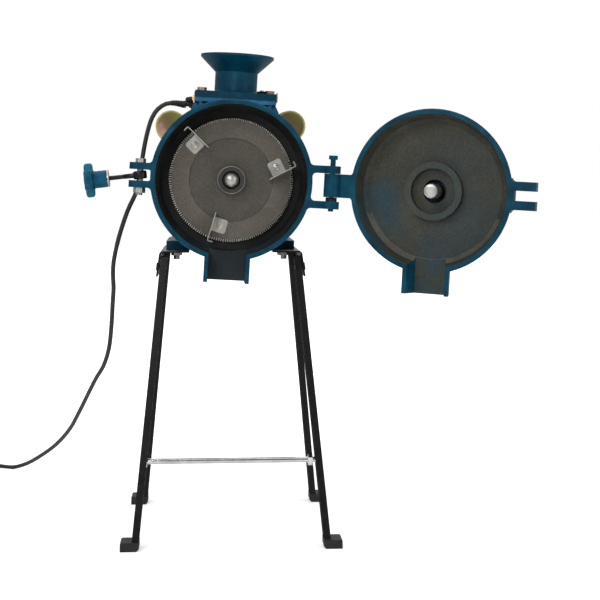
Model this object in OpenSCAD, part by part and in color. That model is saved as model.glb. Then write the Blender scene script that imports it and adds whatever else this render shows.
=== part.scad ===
// Electric grain mill on a splayed stand, at its real size in millimetres.
// +X is right and +Y is back, seen from the drum's open side, and +Z is up.
// The origin is on the floor under the shaft, midway between front and rear feet.

/* [Overall] */
// Height of the grinding shaft above the floor
shaft_h = 453; // [420:1:500]
// Lean of the head about the shaft, clockwise from the front
head_roll = 3.2; // [0:0.1:6]
// Middle of the motor's foot bolts, behind the middle of the stand
foot_mid_y = 35; // [20:1:50]

/* [Drum] */
// Outer radius of the drum
drum_r = 100; // [90:1:120]
// Thickness of the drum's round wall
drum_wall = 6; // [4:0.5:10]
// Depth of the drum with its back wall
drum_depth = 63; // [58:1:80]
// Thickness of the drum's back wall
back_wall = 8; // [5:0.5:12]
// Width of the discharge chute outside
chute_w = 56.5; // [40:0.5:70]
// Thickness of the chute's walls
chute_wall = 5; // [3:0.5:8]
// How far the chute reaches below the drum
chute_reach = 27; // [12:1:50]

/* [Feed] */
// Length of the feed barrel from the drum to the motor
barrel_len = 39; // [34:1:60]
// Bore radius of the feed barrel
barrel_bore_r = 26; // [24:0.5:30]
// Wall of the feed barrel
barrel_wall = 10; // [5:0.5:14]
// Height of the inlet flange's top above the drum
inlet_rise = 2; // [1:0.5:20]
// Width of the inlet flange and the hopper's plate
inlet_w = 102.7; // [95:0.1:120]
// Depth of the inlet flange and the hopper's plate
inlet_len = 84; // [78:1:100]
// Width of the inlet duct at its shoulder
duct_shoulder_w = 112; // [100:1:116]
// Thickness of the inlet flange
inlet_flange_t = 5; // [3:0.5:8]
// Radius of the throat that the grain falls through
throat_r = 20; // [16:0.5:24]

/* [Hopper] */
// Radius of the hopper's rim
hopper_rim_r = 47; // [40:1:80]
// Radius of the hopper's neck outside
hopper_neck_r = 27.3; // [24:0.1:32]
// Wall of the hopper
hopper_wall = 3; // [2:0.5:5]
// Thickness of the hopper's plate
hopper_plate_t = 7; // [4:0.5:10]
// Height of the straight neck above the plate
hopper_neck_h = 27; // [10:1:60]
// Height of the funnel above the neck
hopper_cone_h = 22; // [10:1:60]
// Thickness of the sliding feed gate
gate_t = 1.5; // [1:0.1:1.8]
// Width of the sliding feed gate
gate_w = 50; // [49:0.5:54]

/* [Grinding] */
// Gap between the fixed toothed plate's rim and the drum's wall
plate_side_gap = 15.7; // [10:0.1:22]
// Thickness of the fixed toothed plate
fixed_plate_t = 8; // [6:0.5:10]
// Inset of the turning disc's rim from the fixed plate's
disc_inset = 2.8; // [1.5:0.1:6]
// Thickness of the turning disc
disc_t = 7; // [6:0.5:10]
// Gap between the fixed plate and the turning disc
grind_gap = 0.5; // [0.3:0.1:1]
// Radius of the disc's raised outer band, inside
disc_step_r = 53; // [40:1:60]
// Radius of the disc's hub
hub_r = 17.5; // [15:0.5:20]
// How far the hub stands in front of the disc
hub_h = 14; // [10:0.5:18]
// Radius of the thrust ball in the hub
ball_r = 10; // [7:0.5:10]
// Number of scrapers on the disc
scraper_count = 3; // [2:1:4]
// Number of teeth round the rim of the fixed plate
tooth_count = 120; // [60:6:150]

/* [Cover] */
// How far the cover stands open
cover_open = 158; // [0:1:165]
// Depth inside the cover
cover_depth = 26; // [20:1:40]
// Thickness of the cover's face
cover_face_t = 6; // [4:0.5:9]
// Reach of the cover's half of the chute below the drum
cover_chute_reach = 26; // [12:1:50]
// Radius of the ring round the thrust pin, inside the cover
boss_r = 35.7; // [30:0.1:42]
// Radius of the recess in that ring
recess_r = 28; // [20:0.5:29]
// Radius of the adjusting screw
screw_r = 9; // [7:0.5:10]
// Length of the screw's threaded boss outside the cover
screw_boss_len = 26; // [16:1:36]

/* [Hinge] */
// Distance of the hinge pin from the drum's wall
hinge_reach = 24; // [20:0.5:35]
// Height of the cover's knuckle
knuckle_h = 29; // [20:1:40]
// Radius of the knuckle and of the lugs
knuckle_r = 10; // [8:0.5:10]
// Thickness of each hinge lug on the body
hinge_lug_t = 9.3; // [6:0.1:12]
// Radius of the hinge pin
hinge_pin_r = 3.25; // [2.5:0.05:4]
// How far the hinge pin stands above the upper lug
hinge_pin_proud = 13; // [7:0.5:20]

/* [Clamp] */
// Distance of the swing bolt's pivot from the drum's wall
pivot_reach = 12.7; // [10:0.1:22]
// Thickness of each pivot lug on the body
pivot_lug_t = 8.5; // [5:0.5:12]
// Gap between the pivot lugs
pivot_gap = 13.8; // [13.8:0.1:18]
// Radius of the pivot bolt
pivot_bolt_r = 4; // [3:0.25:5]
// How far the swing bolt droops at rest
clamp_droop = 9.5; // [0:0.5:10]
// Radius of the swing bolt's rod
rod_r = 3; // [2.5:0.1:4]
// Width of the slot in the cover's fork
fork_gap = 12; // [9:0.5:14]
// Thickness of each prong of the fork, up and down
prong_t = 11; // [7:0.5:14]
// Thickness of the fork, front to back
fork_depth = 13.7; // [8:0.1:18]
// From the pivot to the washer's inner face at rest
washer_place = 38; // [36:0.5:44]
// Travel of the clamp knob along the swing bolt
clamp_travel = 15; // [8:0.5:16]
// Radius of the clamp knob's star
star_r = 21; // [17:0.5:26]
// Number of lobes on each star knob
lobe_count = 6; // [5:1:7]

/* [Motor] */
// Radius of the motor frame over its plain shell
frame_r = 76; // [74:1:84]
// Wall of the motor frame
frame_wall = 5; // [3:0.5:8]
// Height of the cooling ribs on the motor frame
rib_h = 6; // [3:0.5:8]
// Number of rib places round the motor frame
rib_count = 36; // [24:6:48]
// Length of the motor frame between its shields
frame_len = 144; // [120:1:180]
// Thickness of each end shield
shield_t = 12; // [8:0.5:16]
// Height of the shaft above the motor's feet
motor_h = 90; // [88:1:100]
// Distance between the left and right foot bolts
foot_bolt_x = 140; // [130:1:150]
// Distance between the front and rear foot bolts
foot_bolt_y = 100; // [80:1:125]
// Thickness of the motor's feet
foot_t = 11; // [7:0.5:14]
// Radius of the motor shaft
shaft_r = 10; // [8:0.5:12]
// Length of the fan cover
fan_cover_len = 62; // [50:1:80]
// Number of fan blades
blade_count = 7; // [5:1:9]
// Radius of each capacitor can
can_r = 19.7; // [15:0.1:24]
// Length of each capacitor can
can_len = 108; // [80:1:130]

/* [Switch box] */
// Width of the switch box
box_w = 94; // [80:1:110]
// Depth of the switch box, front to back
box_len = 48; // [46:1:70]
// Height of the switch box under its lid
box_h = 31; // [27:1:45]
// Wall of the switch box
box_wall = 2.5; // [1.5:0.5:4]
// Thickness of the lid
lid_t = 2; // [1:0.5:4]

/* [Stand] */
// Thickness of the brackets' sheet
bracket_t = 2; // [1.5:0.5:4]
// Half the distance over the two bracket plates
bracket_out_x = 91; // [86:1:100]
// Width of each bracket plate
bracket_w = 38; // [32:1:50]
// Length of each bracket plate, front to back
bracket_len = 178; // [150:1:200]
// Height of the bracket's sloping flange
flange_h = 28; // [20:1:45]
// Outward slope of the bracket's flange
flange_slope = 8; // [5:0.5:14]
// Size of a leg seen from the front
leg_x = 8.5; // [6:0.5:14]
// Size of a leg seen from the side
leg_y = 25; // [18:1:35]
// Wall of a leg
leg_wall = 2; // [1.5:0.5:3]
// Half the distance between front and rear legs' tops
leg_top_y = 66; // [55:1:75]
// Half the distance between left and right legs' bottoms
leg_foot_x = 118.5; // [110:0.5:130]
// Half the distance between front and rear legs' bottoms
leg_foot_y = 127; // [110:1:140]
// Length of a foot cap, left to right
cap_x = 23; // [20:0.5:28]
// Length of a foot cap, front to back
cap_y = 29; // [28:1:40]
// Height of a foot cap
cap_h = 11; // [8:0.5:16]
// Height of the tie rod
tie_h = 104; // [60:1:200]
// Radius of the tie rod
tie_r = 3.5; // [2.5:0.25:5]

/* [Cord] */
// Diameter of the cord
cord_d = 6; // [5:0.5:8]
// Turns in the coil, in two layers
coil_turns = 3.4; // [2:0.2:4]
// Radius of the coil at the middle of its turns
coil_r = 33; // [30:1:40]

/* [Hidden] */
$fn = 48;
facet_fn = 24;

// Overrun of every cut
over = 1;
// Radial clearance of a running or seated fit
fit = 0.06;
// Gap between faces that move past each other
face_gap = 0.3;
// Chamfer of small edges
edge = 1;
// How far small pieces sit in one another
seat = 1;

// Signs of the two sides and of the four corners
sides = [-1, 1];
corners = [[-1, -1], [1, -1], [-1, 1], [1, 1]];

// Places of the head and the motor along the shaft
shield_reach = 63;
motor_front_y = foot_mid_y - shield_reach;
head_len = drum_depth + barrel_len;
flange_y = motor_front_y - head_len;
frame_front_y = motor_front_y + shield_t;
frame_back_y = frame_front_y + frame_len;
motor_back_y = frame_back_y + shield_t;

// Drum, chute and feed casting
chamber_r = drum_r - drum_wall;
fixed_plate_r = chamber_r - plate_side_gap;
disc_r = fixed_plate_r - disc_inset;
chamber_depth = drum_depth - back_wall;
rim_chamfer = 1.5;
back_chamfer = 5;
chamber_cove = 6;
cover_draft = 5;
root_fillet_r = 5;
root_fillet_in_r = 2.5;
root_sink = 4;
fillet_dip = 0.1;
chute_drop = drum_r + chute_reach;
chute_top_share = 0.75;
chute_top = drum_r * chute_top_share;
barrel_r = barrel_bore_r + barrel_wall;
inlet_h = drum_r + inlet_rise;
body_flange_t = 8;
body_flange_r = 62;
duct_shoulder = 9;
duct_waist_w = 94;
duct_waist_drop = 18;
duct_root = 3;
hinge_x = drum_r + hinge_reach;
pivot_x = drum_r + pivot_reach;
lug_root = 12;
lug_arm_t = 8.5;
pivot_y = 9;
pivot_end = 13.3;
pivot_chamfer = 5;
hinge_lug_z = knuckle_h / 2 + face_gap;

// Bolts that hold the hopper
hopper_bolt_r = 3;
hopper_bolt_head_r = 6;
hopper_bolt_head_t = 4;
hopper_bolt_edge = 8.5;
hopper_bolt_tail = 5;
hopper_bolt_hole_z = inlet_h - inlet_flange_t - hopper_bolt_tail - back_wall / 2;
gasket_t = 2;
gate_clearance = 0.3;
gate_tab_h = 12;
gate_tab_gap = 0.75;
gate_tab_x = inlet_w / 2 + gate_tab_gap;
gate_end = throat_r + gate_t / 2;
gasket_top = inlet_h + gasket_t;
hopper_plate_top = gasket_top + hopper_plate_t;
inlet_mid_y = drum_depth + barrel_len / 2;

// Grinding set
plate_back_y = chamber_depth;
plate_front_y = plate_back_y - fixed_plate_t;
disc_back_y = plate_front_y - grind_gap;
disc_front_y = disc_back_y - disc_t;
disc_step = 2;
tooth_depth = 2.2;
tooth_share = [0.08, 0.42, 0.58, 0.92];
hub_front_y = disc_front_y - hub_h;
hub_recess_gap = 1.4;
hub_recess_r = ball_r + hub_recess_gap;
scraper_edge_gaps = [16.5, 12, 16.5];
scraper_place_rs = [for (edge_gap = scraper_edge_gaps) disc_r - edge_gap];
scraper_start = 19;
// Turn of each scraper about its one screw
scraper_twists = [11, -1, -3];
scraper_w = 18;
scraper_t = 1;
scraper_blade_in = 15;
scraper_blade_out = 22;
scraper_blade_h = 26;
scraper_hook = 7;
scraper_screw_r = 4.5;
scraper_screw_t = 2.5;
scraper_thread_r = 2.5;
plate_screw_r = 4;
plate_screw_t = 3;
plate_thread_r = 2;
plate_screw_count = 3;
plate_screw_start = 60;
seal_t = 5;
auger_gap = 1;
auger_r = barrel_bore_r - auger_gap;
auger_core_wall = 3;
auger_core_r = shaft_r + auger_core_wall;
auger_front_y = disc_back_y + auger_gap * 2;
auger_back_y = head_len - seal_t - auger_gap * 2;
auger_blade_t = 4;
auger_turn = 540;

// Cover, thrust pin and adjusting screw, cover closed
cover_front_y = -cover_depth - cover_face_t;
cover_chute_depth = 30;
cover_chute_drop = drum_r + cover_chute_reach;
cover_chute_w = chute_w + rim_chamfer;
boss_h = 10;
pin_hole_r = 14.5;
pin_hole_depth = 18;
pin_r = 9.2;
pin_tip_y = -2;
pin_head_len = 24;
pin_stem_r = 5;
pin_stem_len = 14;
pin_dome = 2;
screw_boss_r = 24;
screw_in_y = pin_tip_y - pin_head_len - face_gap;
screw_boss_y = cover_front_y - screw_boss_len;
lock_nut_t = 10;
lock_nut_r = 15;
hub_ball_y = disc_front_y - ball_r + seat;
screw_travel = 23;
knob_back_y = screw_boss_y - lock_nut_t - screw_travel - seat;
screw_knob_star_r = 27;
screw_knob_hub_r = 14;
screw_knob_hub_l = 12;
screw_knob_star_t = 14;
fork_reach = 28;
fork_end = drum_r + fork_reach;
fork_root = 8;
fork_slot_gap = 2;
fork_slot_end = drum_r + fork_slot_gap;

// Hinge pin and clamp
hinge_head_r = 5.5;
hinge_head_t = 5;
hinge_tail = 3;
hinge_spacer_t = 5;
hinge_spacer_r = 7;
eye_wall = 3.5;
eye_h = 10;
eye_bore_r = pivot_bolt_r / cos(clamp_droop) + eye_h / 2 * tan(clamp_droop) + fit;
eye_r = eye_bore_r + eye_wall;
rod_len = 64;
washer_r = 10.5;
washer_t = 2;
knob_hub_r = 10.7;
knob_hub_l = 18.5;
knob_star_l = 12;
knob_star_lap = 2;
pivot_head_r = 6.5;
pivot_head_t = 5;
pivot_nut_r = 7.5;
pivot_nut_t = 6.5;
pivot_tail = 3;
star_core_share = 0.72;
lobe_share = 0.3;

// Motor
rib_t = 2.6;
rib_r = frame_r + rib_h;
frame_bore_r = frame_r - frame_wall;
rib_free_top = 36;
rib_free_bottom = 52;
foot_in = 17.5;
foot_out = 13;
foot_margin = 15;
foot_web_w = 9;
foot_web_lap = 10;
foot_web_in = foot_bolt_x / 2 - foot_in;
foot_web_h = motor_h - sqrt(max(0, frame_r * frame_r - foot_web_in * foot_web_in)) + foot_web_lap;
foot_bolt_r = 4;
foot_bolt_head_r = 7.2;
foot_bolt_head_t = 5.5;
foot_nut_t = 6.5;
foot_bolt_tail = 5;
shield_lip = 4;
shield_r = frame_r + shield_lip;
shield_chamfer = 4;
shield_hub_r = 32;
shield_hub_len = 8;
bearing_r = 23.5;
bearing_t = 14;
bearing_lip = 3;
bearing_groove = 1.5;
shield_hole_gap = 2;
shield_hole_r = shaft_r + shield_hole_gap;
core_len = 78;
core_inset = 24;
core_y = frame_front_y + core_inset;
stator_wall = 25.4;
air_gap = 0.6;
stator_in_r = frame_bore_r - stator_wall;
rotor_r = stator_in_r - air_gap;
coil_end_len = 17;
coil_end_wall = 17;
coil_end_gap = 4;
coil_end_out_r = frame_bore_r - coil_end_gap;
coil_end_in_r = coil_end_out_r - coil_end_wall;
pad_w = 80;
pad_t = 2;
fan_hub_r = 18;
fan_hub_len = 20;
fan_gap = 8;
fan_tip_gap = 16;
fan_r = shield_r - fan_tip_gap;
blade_t = 2;
fan_y = motor_back_y + fan_gap;
shaft_back_y = fan_y + fan_hub_len;
fan_cover_t = 1.5;
fan_cover_lap = 9;
fan_cover_y = motor_back_y - fan_cover_lap;
fan_cover_back_y = fan_cover_y + fan_cover_len;
slot_in_r = 22;
slot_margin = 14;
slot_out_r = shield_r - slot_margin;
slot_w = 5;
slot_count = 14;
cover_screw_r = 2;
cover_screw_head_r = 4;
cover_screw_head_t = 2.2;
cover_screw_len = 8;
cover_screw_angles = [for (i = [0:3]) 45 + i * 90];
can_front_y = -58;
can_angle = 47.7;
strap_t = 1.2;
strap_w = 12;
strap_share = [0.42, 0.84];
can_place_r = rib_r + strap_t + fit * 2 + can_r;
can_rim = 1.4;
can_rim_len = 3;
can_step = 1;

// Switch box
box_mid_y = 22;
box_floor_z = rib_r + pad_t;
box_top_z = box_floor_z + box_h;
box_post_r = 3;
lid_screw_r = 1.5;
lid_screw_head_r = 3;
lid_screw_head_t = 1.6;
lid_screw_len = 12;
box_post_inset = 5;
terminal_x = 34;
terminal_y = 16;
terminal_z = 14;
terminal_pole_r = 2.5;
terminal_pole_count = 4;
toggle_y = 14;
toggle_drop = 8.5;
toggle_z = box_top_z - toggle_drop;
toggle_bush_r = 5;
toggle_bush_out = 3;
toggle_nut_r = 7;
toggle_nut_t = 2;
toggle_case = 14;
toggle_barrel_r = 3.5;
toggle_barrel_h = 4;
toggle_tilt = 12;
toggle_root_r = 3.4;
toggle_root_out = 1.2;
toggle_tip_r = 2.6;
toggle_len = 9;
gland_y = 29;
gland_drop = 13.5;
gland_z = box_top_z - gland_drop;
gland_r = 6.2;
gland_hole_r = 5;
gland_out = 8;
gland_nut_t = 3;
gland_nut_r = 7;
gland_taper = 4;

// Stand
bracket_top_z = shaft_h - motor_h;
bracket_mid_y = 11;
bend_r = 5;
flange_top_x = bracket_out_x - bend_r + bend_r * cos(flange_slope);
leg_top_drop = 7;
leg_top_z = bracket_top_z - leg_top_drop;
leg_top_x = bracket_out_x - bracket_t - face_gap - leg_x / 2;
sole_t = 3;
foot_tab_t = 3;
foot_tab_len = 11;
cap_shift = 6.2;
cap_wall = 1.5;
cap_chamfer = 1.5;
leg_bolt_drop = 14;
leg_bolt_r = 3;
leg_bolt_head_r = 5;
leg_bolt_head_t = 1.5;
leg_bolt_nut_t = 3;
leg_bolt_nut_r = 5;
leg_slab_t = 0.5;
tie_nut_r = 7.2;
tie_nut_t = 5.5;
tie_nut_gap = 3.4;
tie_nut_slack = 1;

// Way of the cord from the gland to the coil
cord_points = [
    [-55, 29, 554.5], [-63, 29, 554.5], [-73, 29, 556], [-85, 29, 555], [-96, 29, 548],
    [-104, 29, 536], [-110, 29, 517], [-115, 29, 493], [-118, 29, 473], [-124, 31, 440], [-137, 35, 411],
    [-149, 42, 375], [-156, 46, 343], [-157, 48, 322], [-156.5, 52, 308], [-158, 54, 284],
    [-160, 60, 255], [-164, 71, 224], [-173, 92, 197], [-187, 120, 173], [-215, 182, 118],
    [-233, 223, 86], [-259, 275, 54], [-290, 322, 27], [-313, 353, 11], [-335, 370, 3],
    [-357, 381.5, 3]
];
coil_centre = [-398, 359];
coil_start = 63;

// Cord and its coil
cord_r = cord_d / 2;
cord_step = 15;
cord_sides = 10;
coil_sides = 6;
coil_rings = 24;
coil_gap = 0.5;
coil_side_gap = 0.6;
coil_angle = coil_turns * 360;
coil_pitch = cord_d + coil_side_gap;
coil_layer = cord_d + coil_gap;
coil_spread = coil_pitch * coil_turns / 4;
coil_out_r = coil_r + coil_spread;
coil_in_r = coil_r - coil_spread;
coil_lead = 9;
plug_lead = 30;

// Tie round the coil
tie_t = 0.8;
tie_w = 8;
tie_gap = 0.3;
tie_angle = 300;
coil_floor = cord_r + tie_t + tie_gap;
tie_in_r = coil_in_r - cord_r - tie_gap;
tie_out_r = coil_out_r + cord_r + tie_gap;
tie_top_z = coil_floor + coil_layer + cord_r + tie_gap;

// Plug
plug_len = 42;
plug_w = 24;
plug_face_w = 30;
plug_neck_r = 5;
plug_neck_len = 10;
plug_pin_r = 2.4;
plug_pin_len = 19;
plug_pin_gap = 19;
plug_chamfer = 3;

// Helpers

module head_place() translate([0, flange_y, shaft_h]) rotate([0, head_roll, 0]) children();

module motor_place() translate([0, 0, shaft_h]) children();

module cover_place()
    head_place()
        translate([hinge_x, 0, 0])
            rotate([0, 0, cover_open])
                translate([-hinge_x, 0, 0])
                    children();

module swing_place()
    head_place()
        translate([-pivot_x, pivot_y, 0])
            rotate([0, -clamp_droop, 0])
                children();

module turned_y(points) rotate([-90, 0, 0]) rotate_extrude() polygon(points);

module rod_y(r, from, to) translate([0, from, 0]) rotate([-90, 0, 0]) cylinder(r = r, h = to - from);

module ring_y(r_out, r_in, from, to)
    difference() {
        rod_y(r_out, from, to);
        rod_y(r_in, from - over, to + over);
    }

module rod_x(r, from, to) translate([from, 0, 0]) rotate([0, 90, 0]) cylinder(r = r, h = to - from);

module rod_z(r, from, to) translate([0, 0, from]) cylinder(r = r, h = to - from);

module block(from, to) translate(from) cube(to - from);

module around_y(angle, place_r) rotate([0, angle, 0]) translate([0, 0, place_r]) children();

// A 2D outline in X and Z, standing between two places along Y
module outline_y(from, to) translate([0, to, 0]) rotate([90, 0, 0]) linear_extrude(to - from) children();

module hex_z(r, from, to) translate([0, 0, from]) cylinder(r = r, h = to - from, $fn = 6);

// Drum, chute, feed barrel and inlet of the mill

module drum_outside() {
    turned_y([
        [0, 0], [drum_r - rim_chamfer, 0], [drum_r, rim_chamfer], [drum_r, drum_depth - back_chamfer],
        [drum_r - back_chamfer, drum_depth], [0, drum_depth]
    ]);
    rod_y(barrel_r, 0, head_len);
    rod_y(body_flange_r, head_len - body_flange_t, head_len);
}

module chute_outside()
    block(
        [-chute_w / 2, 0, -chute_drop],
        [chute_w / 2, drum_depth - back_chamfer, -chute_top]
    );

module inlet_outside() {
    outline_y(drum_depth - back_wall, head_len)
        polygon([
            [-inlet_w / 2, inlet_h], [inlet_w / 2, inlet_h],
            [inlet_w / 2, inlet_h - inlet_flange_t],
            [duct_shoulder_w / 2, inlet_h - inlet_flange_t - duct_shoulder],
            [duct_waist_w / 2, inlet_h - inlet_flange_t - duct_shoulder - duct_waist_drop],
            [barrel_r - duct_root, 0], [-barrel_r + duct_root, 0],
            [-duct_waist_w / 2, inlet_h - inlet_flange_t - duct_shoulder - duct_waist_drop],
            [-duct_shoulder_w / 2, inlet_h - inlet_flange_t - duct_shoulder],
            [-inlet_w / 2, inlet_h - inlet_flange_t]
        ]);
    block(
        [-inlet_w / 2, inlet_mid_y - inlet_len / 2, inlet_h - inlet_flange_t],
        [inlet_w / 2, inlet_mid_y + inlet_len / 2, inlet_h]
    );
}

// A fillet along Y between the drum's +X side and a lug's face at z
module root_fillet(z, way, r, y0, y1) {
    centre_z = z + way * r;
    centre_x = sqrt((drum_r + r - fillet_dip) ^ 2 - centre_z ^ 2);
    touch = drum_r / (drum_r + r);
    outline_y(y0, y1)
        difference() {
            polygon([
                [centre_x, z - way * seat], [centre_x, centre_z], [centre_x * touch, centre_z * touch],
                [centre_x * touch - root_sink, z - way * seat]
            ]);
            translate([centre_x, centre_z])
                circle(r = r, $fn = 48);
        }
}

module pivot_lug_pair() {
    mirror([1, 0, 0])
        for (way = sides) {
            root_fillet(way * (pivot_gap / 2 + pivot_lug_t), way, root_fillet_r, 0, pivot_y * 2);
            root_fillet(way * pivot_gap / 2, -way, root_fillet_in_r, 0, pivot_y * 2);
        }
    lug_end = pivot_x + pivot_end;
    for (side = sides)
        translate([0, 0, side * (pivot_gap + pivot_lug_t) / 2 - pivot_lug_t / 2])
            linear_extrude(pivot_lug_t)
                polygon([
                    [-drum_r + lug_root, 0], [-lug_end + pivot_chamfer, 0], [-lug_end, pivot_chamfer],
                    [-lug_end, pivot_y * 2 - pivot_chamfer], [-lug_end + pivot_chamfer, pivot_y * 2],
                    [-drum_r + lug_root, pivot_y * 2]
                ]);
}

// The lower lug stands lower by the knuckle's spacer
module hinge_lug_pair()
    for (base = [hinge_lug_z, -hinge_lug_z - hinge_spacer_t - hinge_lug_t]) {
        root_fillet(base + hinge_lug_t, 1, root_fillet_r, 0, lug_arm_t);
        root_fillet(base, -1, root_fillet_r, 0, lug_arm_t);
        translate([0, 0, base]) {
            translate([hinge_x, 0, 0])
                cylinder(r = knuckle_r, h = hinge_lug_t);
            block([drum_r - lug_root, 0, 0], [hinge_x, lug_arm_t, hinge_lug_t]);
        }
    }

module hopper_bolt_spots()
    for (corner = corners)
        translate([
            corner[0] * (inlet_w / 2 - hopper_bolt_edge),
            inlet_mid_y + corner[1] * (inlet_len / 2 - hopper_bolt_edge),
            0
        ])
            children();

module plate_screw_spots()
    for (i = [0:plate_screw_count - 1])
        around_y(plate_screw_start + i * 360 / plate_screw_count, (disc_step_r + barrel_bore_r) / 2)
            children();

module mill_body()
    color("steelblue")
        head_place()
            difference() {
                union() {
                    drum_outside();
                    chute_outside();
                    inlet_outside();
                    pivot_lug_pair();
                    hinge_lug_pair();
                }
                turned_y([
                    [0, -over], [chamber_r, -over], [chamber_r, chamber_depth - chamber_cove],
                    [chamber_r - chamber_cove, chamber_depth], [0, chamber_depth]
                ]);
                block(
                    [-chute_w / 2 + chute_wall, -over, -chute_drop - over],
                    [chute_w / 2 - chute_wall, drum_depth - back_chamfer - chute_wall, -chute_top]
                );
                rod_y(barrel_bore_r, 0, head_len + over);
                translate([0, inlet_mid_y, 0])
                    rod_z(throat_r, 0, inlet_h + over);
                hopper_bolt_spots()
                    rod_z(hopper_bolt_r + fit, hopper_bolt_hole_z, inlet_h + over);
                plate_screw_spots()
                    rod_y(plate_thread_r + fit, 0, drum_depth + over);
                translate([-pivot_x, pivot_y, 0])
                    rod_z(pivot_bolt_r + fit, -pivot_gap - pivot_lug_t, pivot_gap + pivot_lug_t);
                translate([hinge_x, 0, 0])
                    rod_z(hinge_pin_r + fit, -hinge_lug_z - hinge_spacer_t - hinge_lug_t - over,
                        hinge_lug_z + hinge_lug_t + over);
            }

// Grinding set

function tooth_points(r, depth, count) = [
    for (i = [0:count - 1], step = [0:3])
        let (angle = (i + tooth_share[step]) * 360 / count)
        (step == 0 || step == 3 ? r - depth : r) * [cos(angle), sin(angle)]
];

module fixed_plate()
    color("dimgray")
        head_place()
            difference() {
                outline_y(plate_front_y, plate_back_y)
                    polygon(tooth_points(fixed_plate_r, tooth_depth, tooth_count));
                rod_y(barrel_bore_r, 0, head_len);
                plate_screw_spots() {
                    rod_y(plate_thread_r + fit, 0, head_len);
                    rod_y(plate_screw_r + face_gap, plate_front_y - over, plate_front_y + plate_screw_t);
                }
            }

module fixed_plate_screws()
    color("silver")
        head_place()
            plate_screw_spots() {
                rod_y(plate_screw_r, plate_front_y + face_gap, plate_front_y + plate_screw_t);
                rod_y(plate_thread_r, plate_front_y + plate_screw_t, drum_depth);
            }

module scraper_spots()
    for (i = [0:scraper_count - 1])
        rotate([0, -scraper_start - i * 360 / scraper_count, 0])
            translate([scraper_place_rs[i % len(scraper_place_rs)], 0, 0])
                rotate([0, -scraper_twists[i % len(scraper_twists)], 0])
                    children();

module grinding_disc()
    color("gray")
        head_place()
            difference() {
                turned_y([
                    [shaft_r + fit, disc_back_y], [disc_r, disc_back_y], [disc_r, disc_front_y],
                    [disc_step_r, disc_front_y], [disc_step_r, disc_front_y + disc_step],
                    [hub_r + disc_step, disc_front_y + disc_step], [hub_r, disc_front_y],
                    [hub_r, hub_front_y + edge], [hub_r - edge, hub_front_y], [hub_recess_r, hub_front_y],
                    [hub_recess_r, disc_front_y + seat], [shaft_r + fit, disc_front_y + seat]
                ]);
                scraper_spots()
                    rod_y(scraper_thread_r + fit, 0, head_len);
            }

module scrapers()
    color("darkgray")
        head_place()
            scraper_spots()
                difference() {
                    union() {
                        block([-scraper_w / 2, disc_front_y - scraper_t, -scraper_w / 2],
                            [scraper_w / 2, disc_front_y, scraper_w / 2]);
                        block([-scraper_blade_in, disc_front_y - scraper_blade_h, -scraper_w / 2 - scraper_t],
                            [scraper_blade_out, disc_front_y, -scraper_w / 2]);
                        block(
                            [scraper_blade_out - scraper_t, disc_front_y - scraper_blade_h, -scraper_w / 2],
                            [scraper_blade_out, disc_front_y, scraper_hook - scraper_w / 2]
                        );
                    }
                    rod_y(scraper_thread_r + fit, 0, head_len);
                }

module scraper_screws()
    color("khaki")
        head_place()
            scraper_spots() {
                rod_y(scraper_screw_r, disc_front_y - scraper_t - scraper_screw_t, disc_front_y - scraper_t);
                rod_y(scraper_thread_r, disc_front_y - scraper_t, disc_back_y);
            }

module thrust_ball()
    color("silver")
        head_place()
            translate([0, hub_ball_y, 0])
                sphere(r = ball_r);

module feed_auger()
    color("gray")
        head_place()
            difference() {
                translate([0, auger_front_y, 0])
                    rotate([-90, 0, 0])
                        linear_extrude(auger_back_y - auger_front_y, twist = auger_turn, slices = 36,
                            $fn = facet_fn) {
                            circle(r = auger_core_r);
                            translate([0, -auger_blade_t / 2])
                                square([auger_r, auger_blade_t]);
                        }
                rod_y(shaft_r + fit, 0, head_len);
            }

module shaft_seal()
    color("black")
        head_place()
            ring_y(barrel_bore_r - fit, shaft_r + fit, head_len - seal_t, head_len);

// Hopper and its gate

module hopper_plate_outline(from, to)
    block(
        [-inlet_w / 2, inlet_mid_y - inlet_len / 2, from],
        [inlet_w / 2, inlet_mid_y + inlet_len / 2, to]
    );

module hopper() {
    neck_top = hopper_plate_top + hopper_neck_h;
    rim_top = neck_top + hopper_cone_h;
    color("steelblue")
        head_place()
            difference() {
                union() {
                    hopper_plate_outline(gasket_top, hopper_plate_top);
                    translate([0, inlet_mid_y, 0])
                        rotate_extrude()
                            polygon([
                                [0, gasket_top], [hopper_neck_r + hopper_wall, hopper_plate_top],
                                [hopper_neck_r, hopper_plate_top + hopper_wall], [hopper_neck_r, neck_top],
                                [hopper_rim_r, rim_top - hopper_wall], [hopper_rim_r, rim_top], [0, rim_top]
                            ]);
                }
                translate([0, inlet_mid_y, 0])
                    rotate_extrude()
                        polygon([
                            [0, gasket_top - over], [throat_r, gasket_top - over],
                            [throat_r, hopper_plate_top],
                            [hopper_neck_r - hopper_wall, neck_top], [hopper_rim_r - hopper_wall, rim_top],
                            [hopper_rim_r - hopper_wall, rim_top + over], [0, rim_top + over]
                        ]);
                hopper_bolt_spots()
                    rod_z(hopper_bolt_r + fit, inlet_h, hopper_plate_top + over);
            }
}

module hopper_gasket()
    color("saddlebrown")
        head_place()
            difference() {
                hopper_plate_outline(inlet_h, gasket_top);
                block(
                    [-gate_end - face_gap, inlet_mid_y - gate_w / 2 - gate_clearance, inlet_h - over],
                    [inlet_w, inlet_mid_y + gate_w / 2 + gate_clearance, gasket_top + over]
                );
                hopper_bolt_spots()
                    rod_z(hopper_bolt_r + fit, 0, hopper_plate_top);
            }

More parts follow.
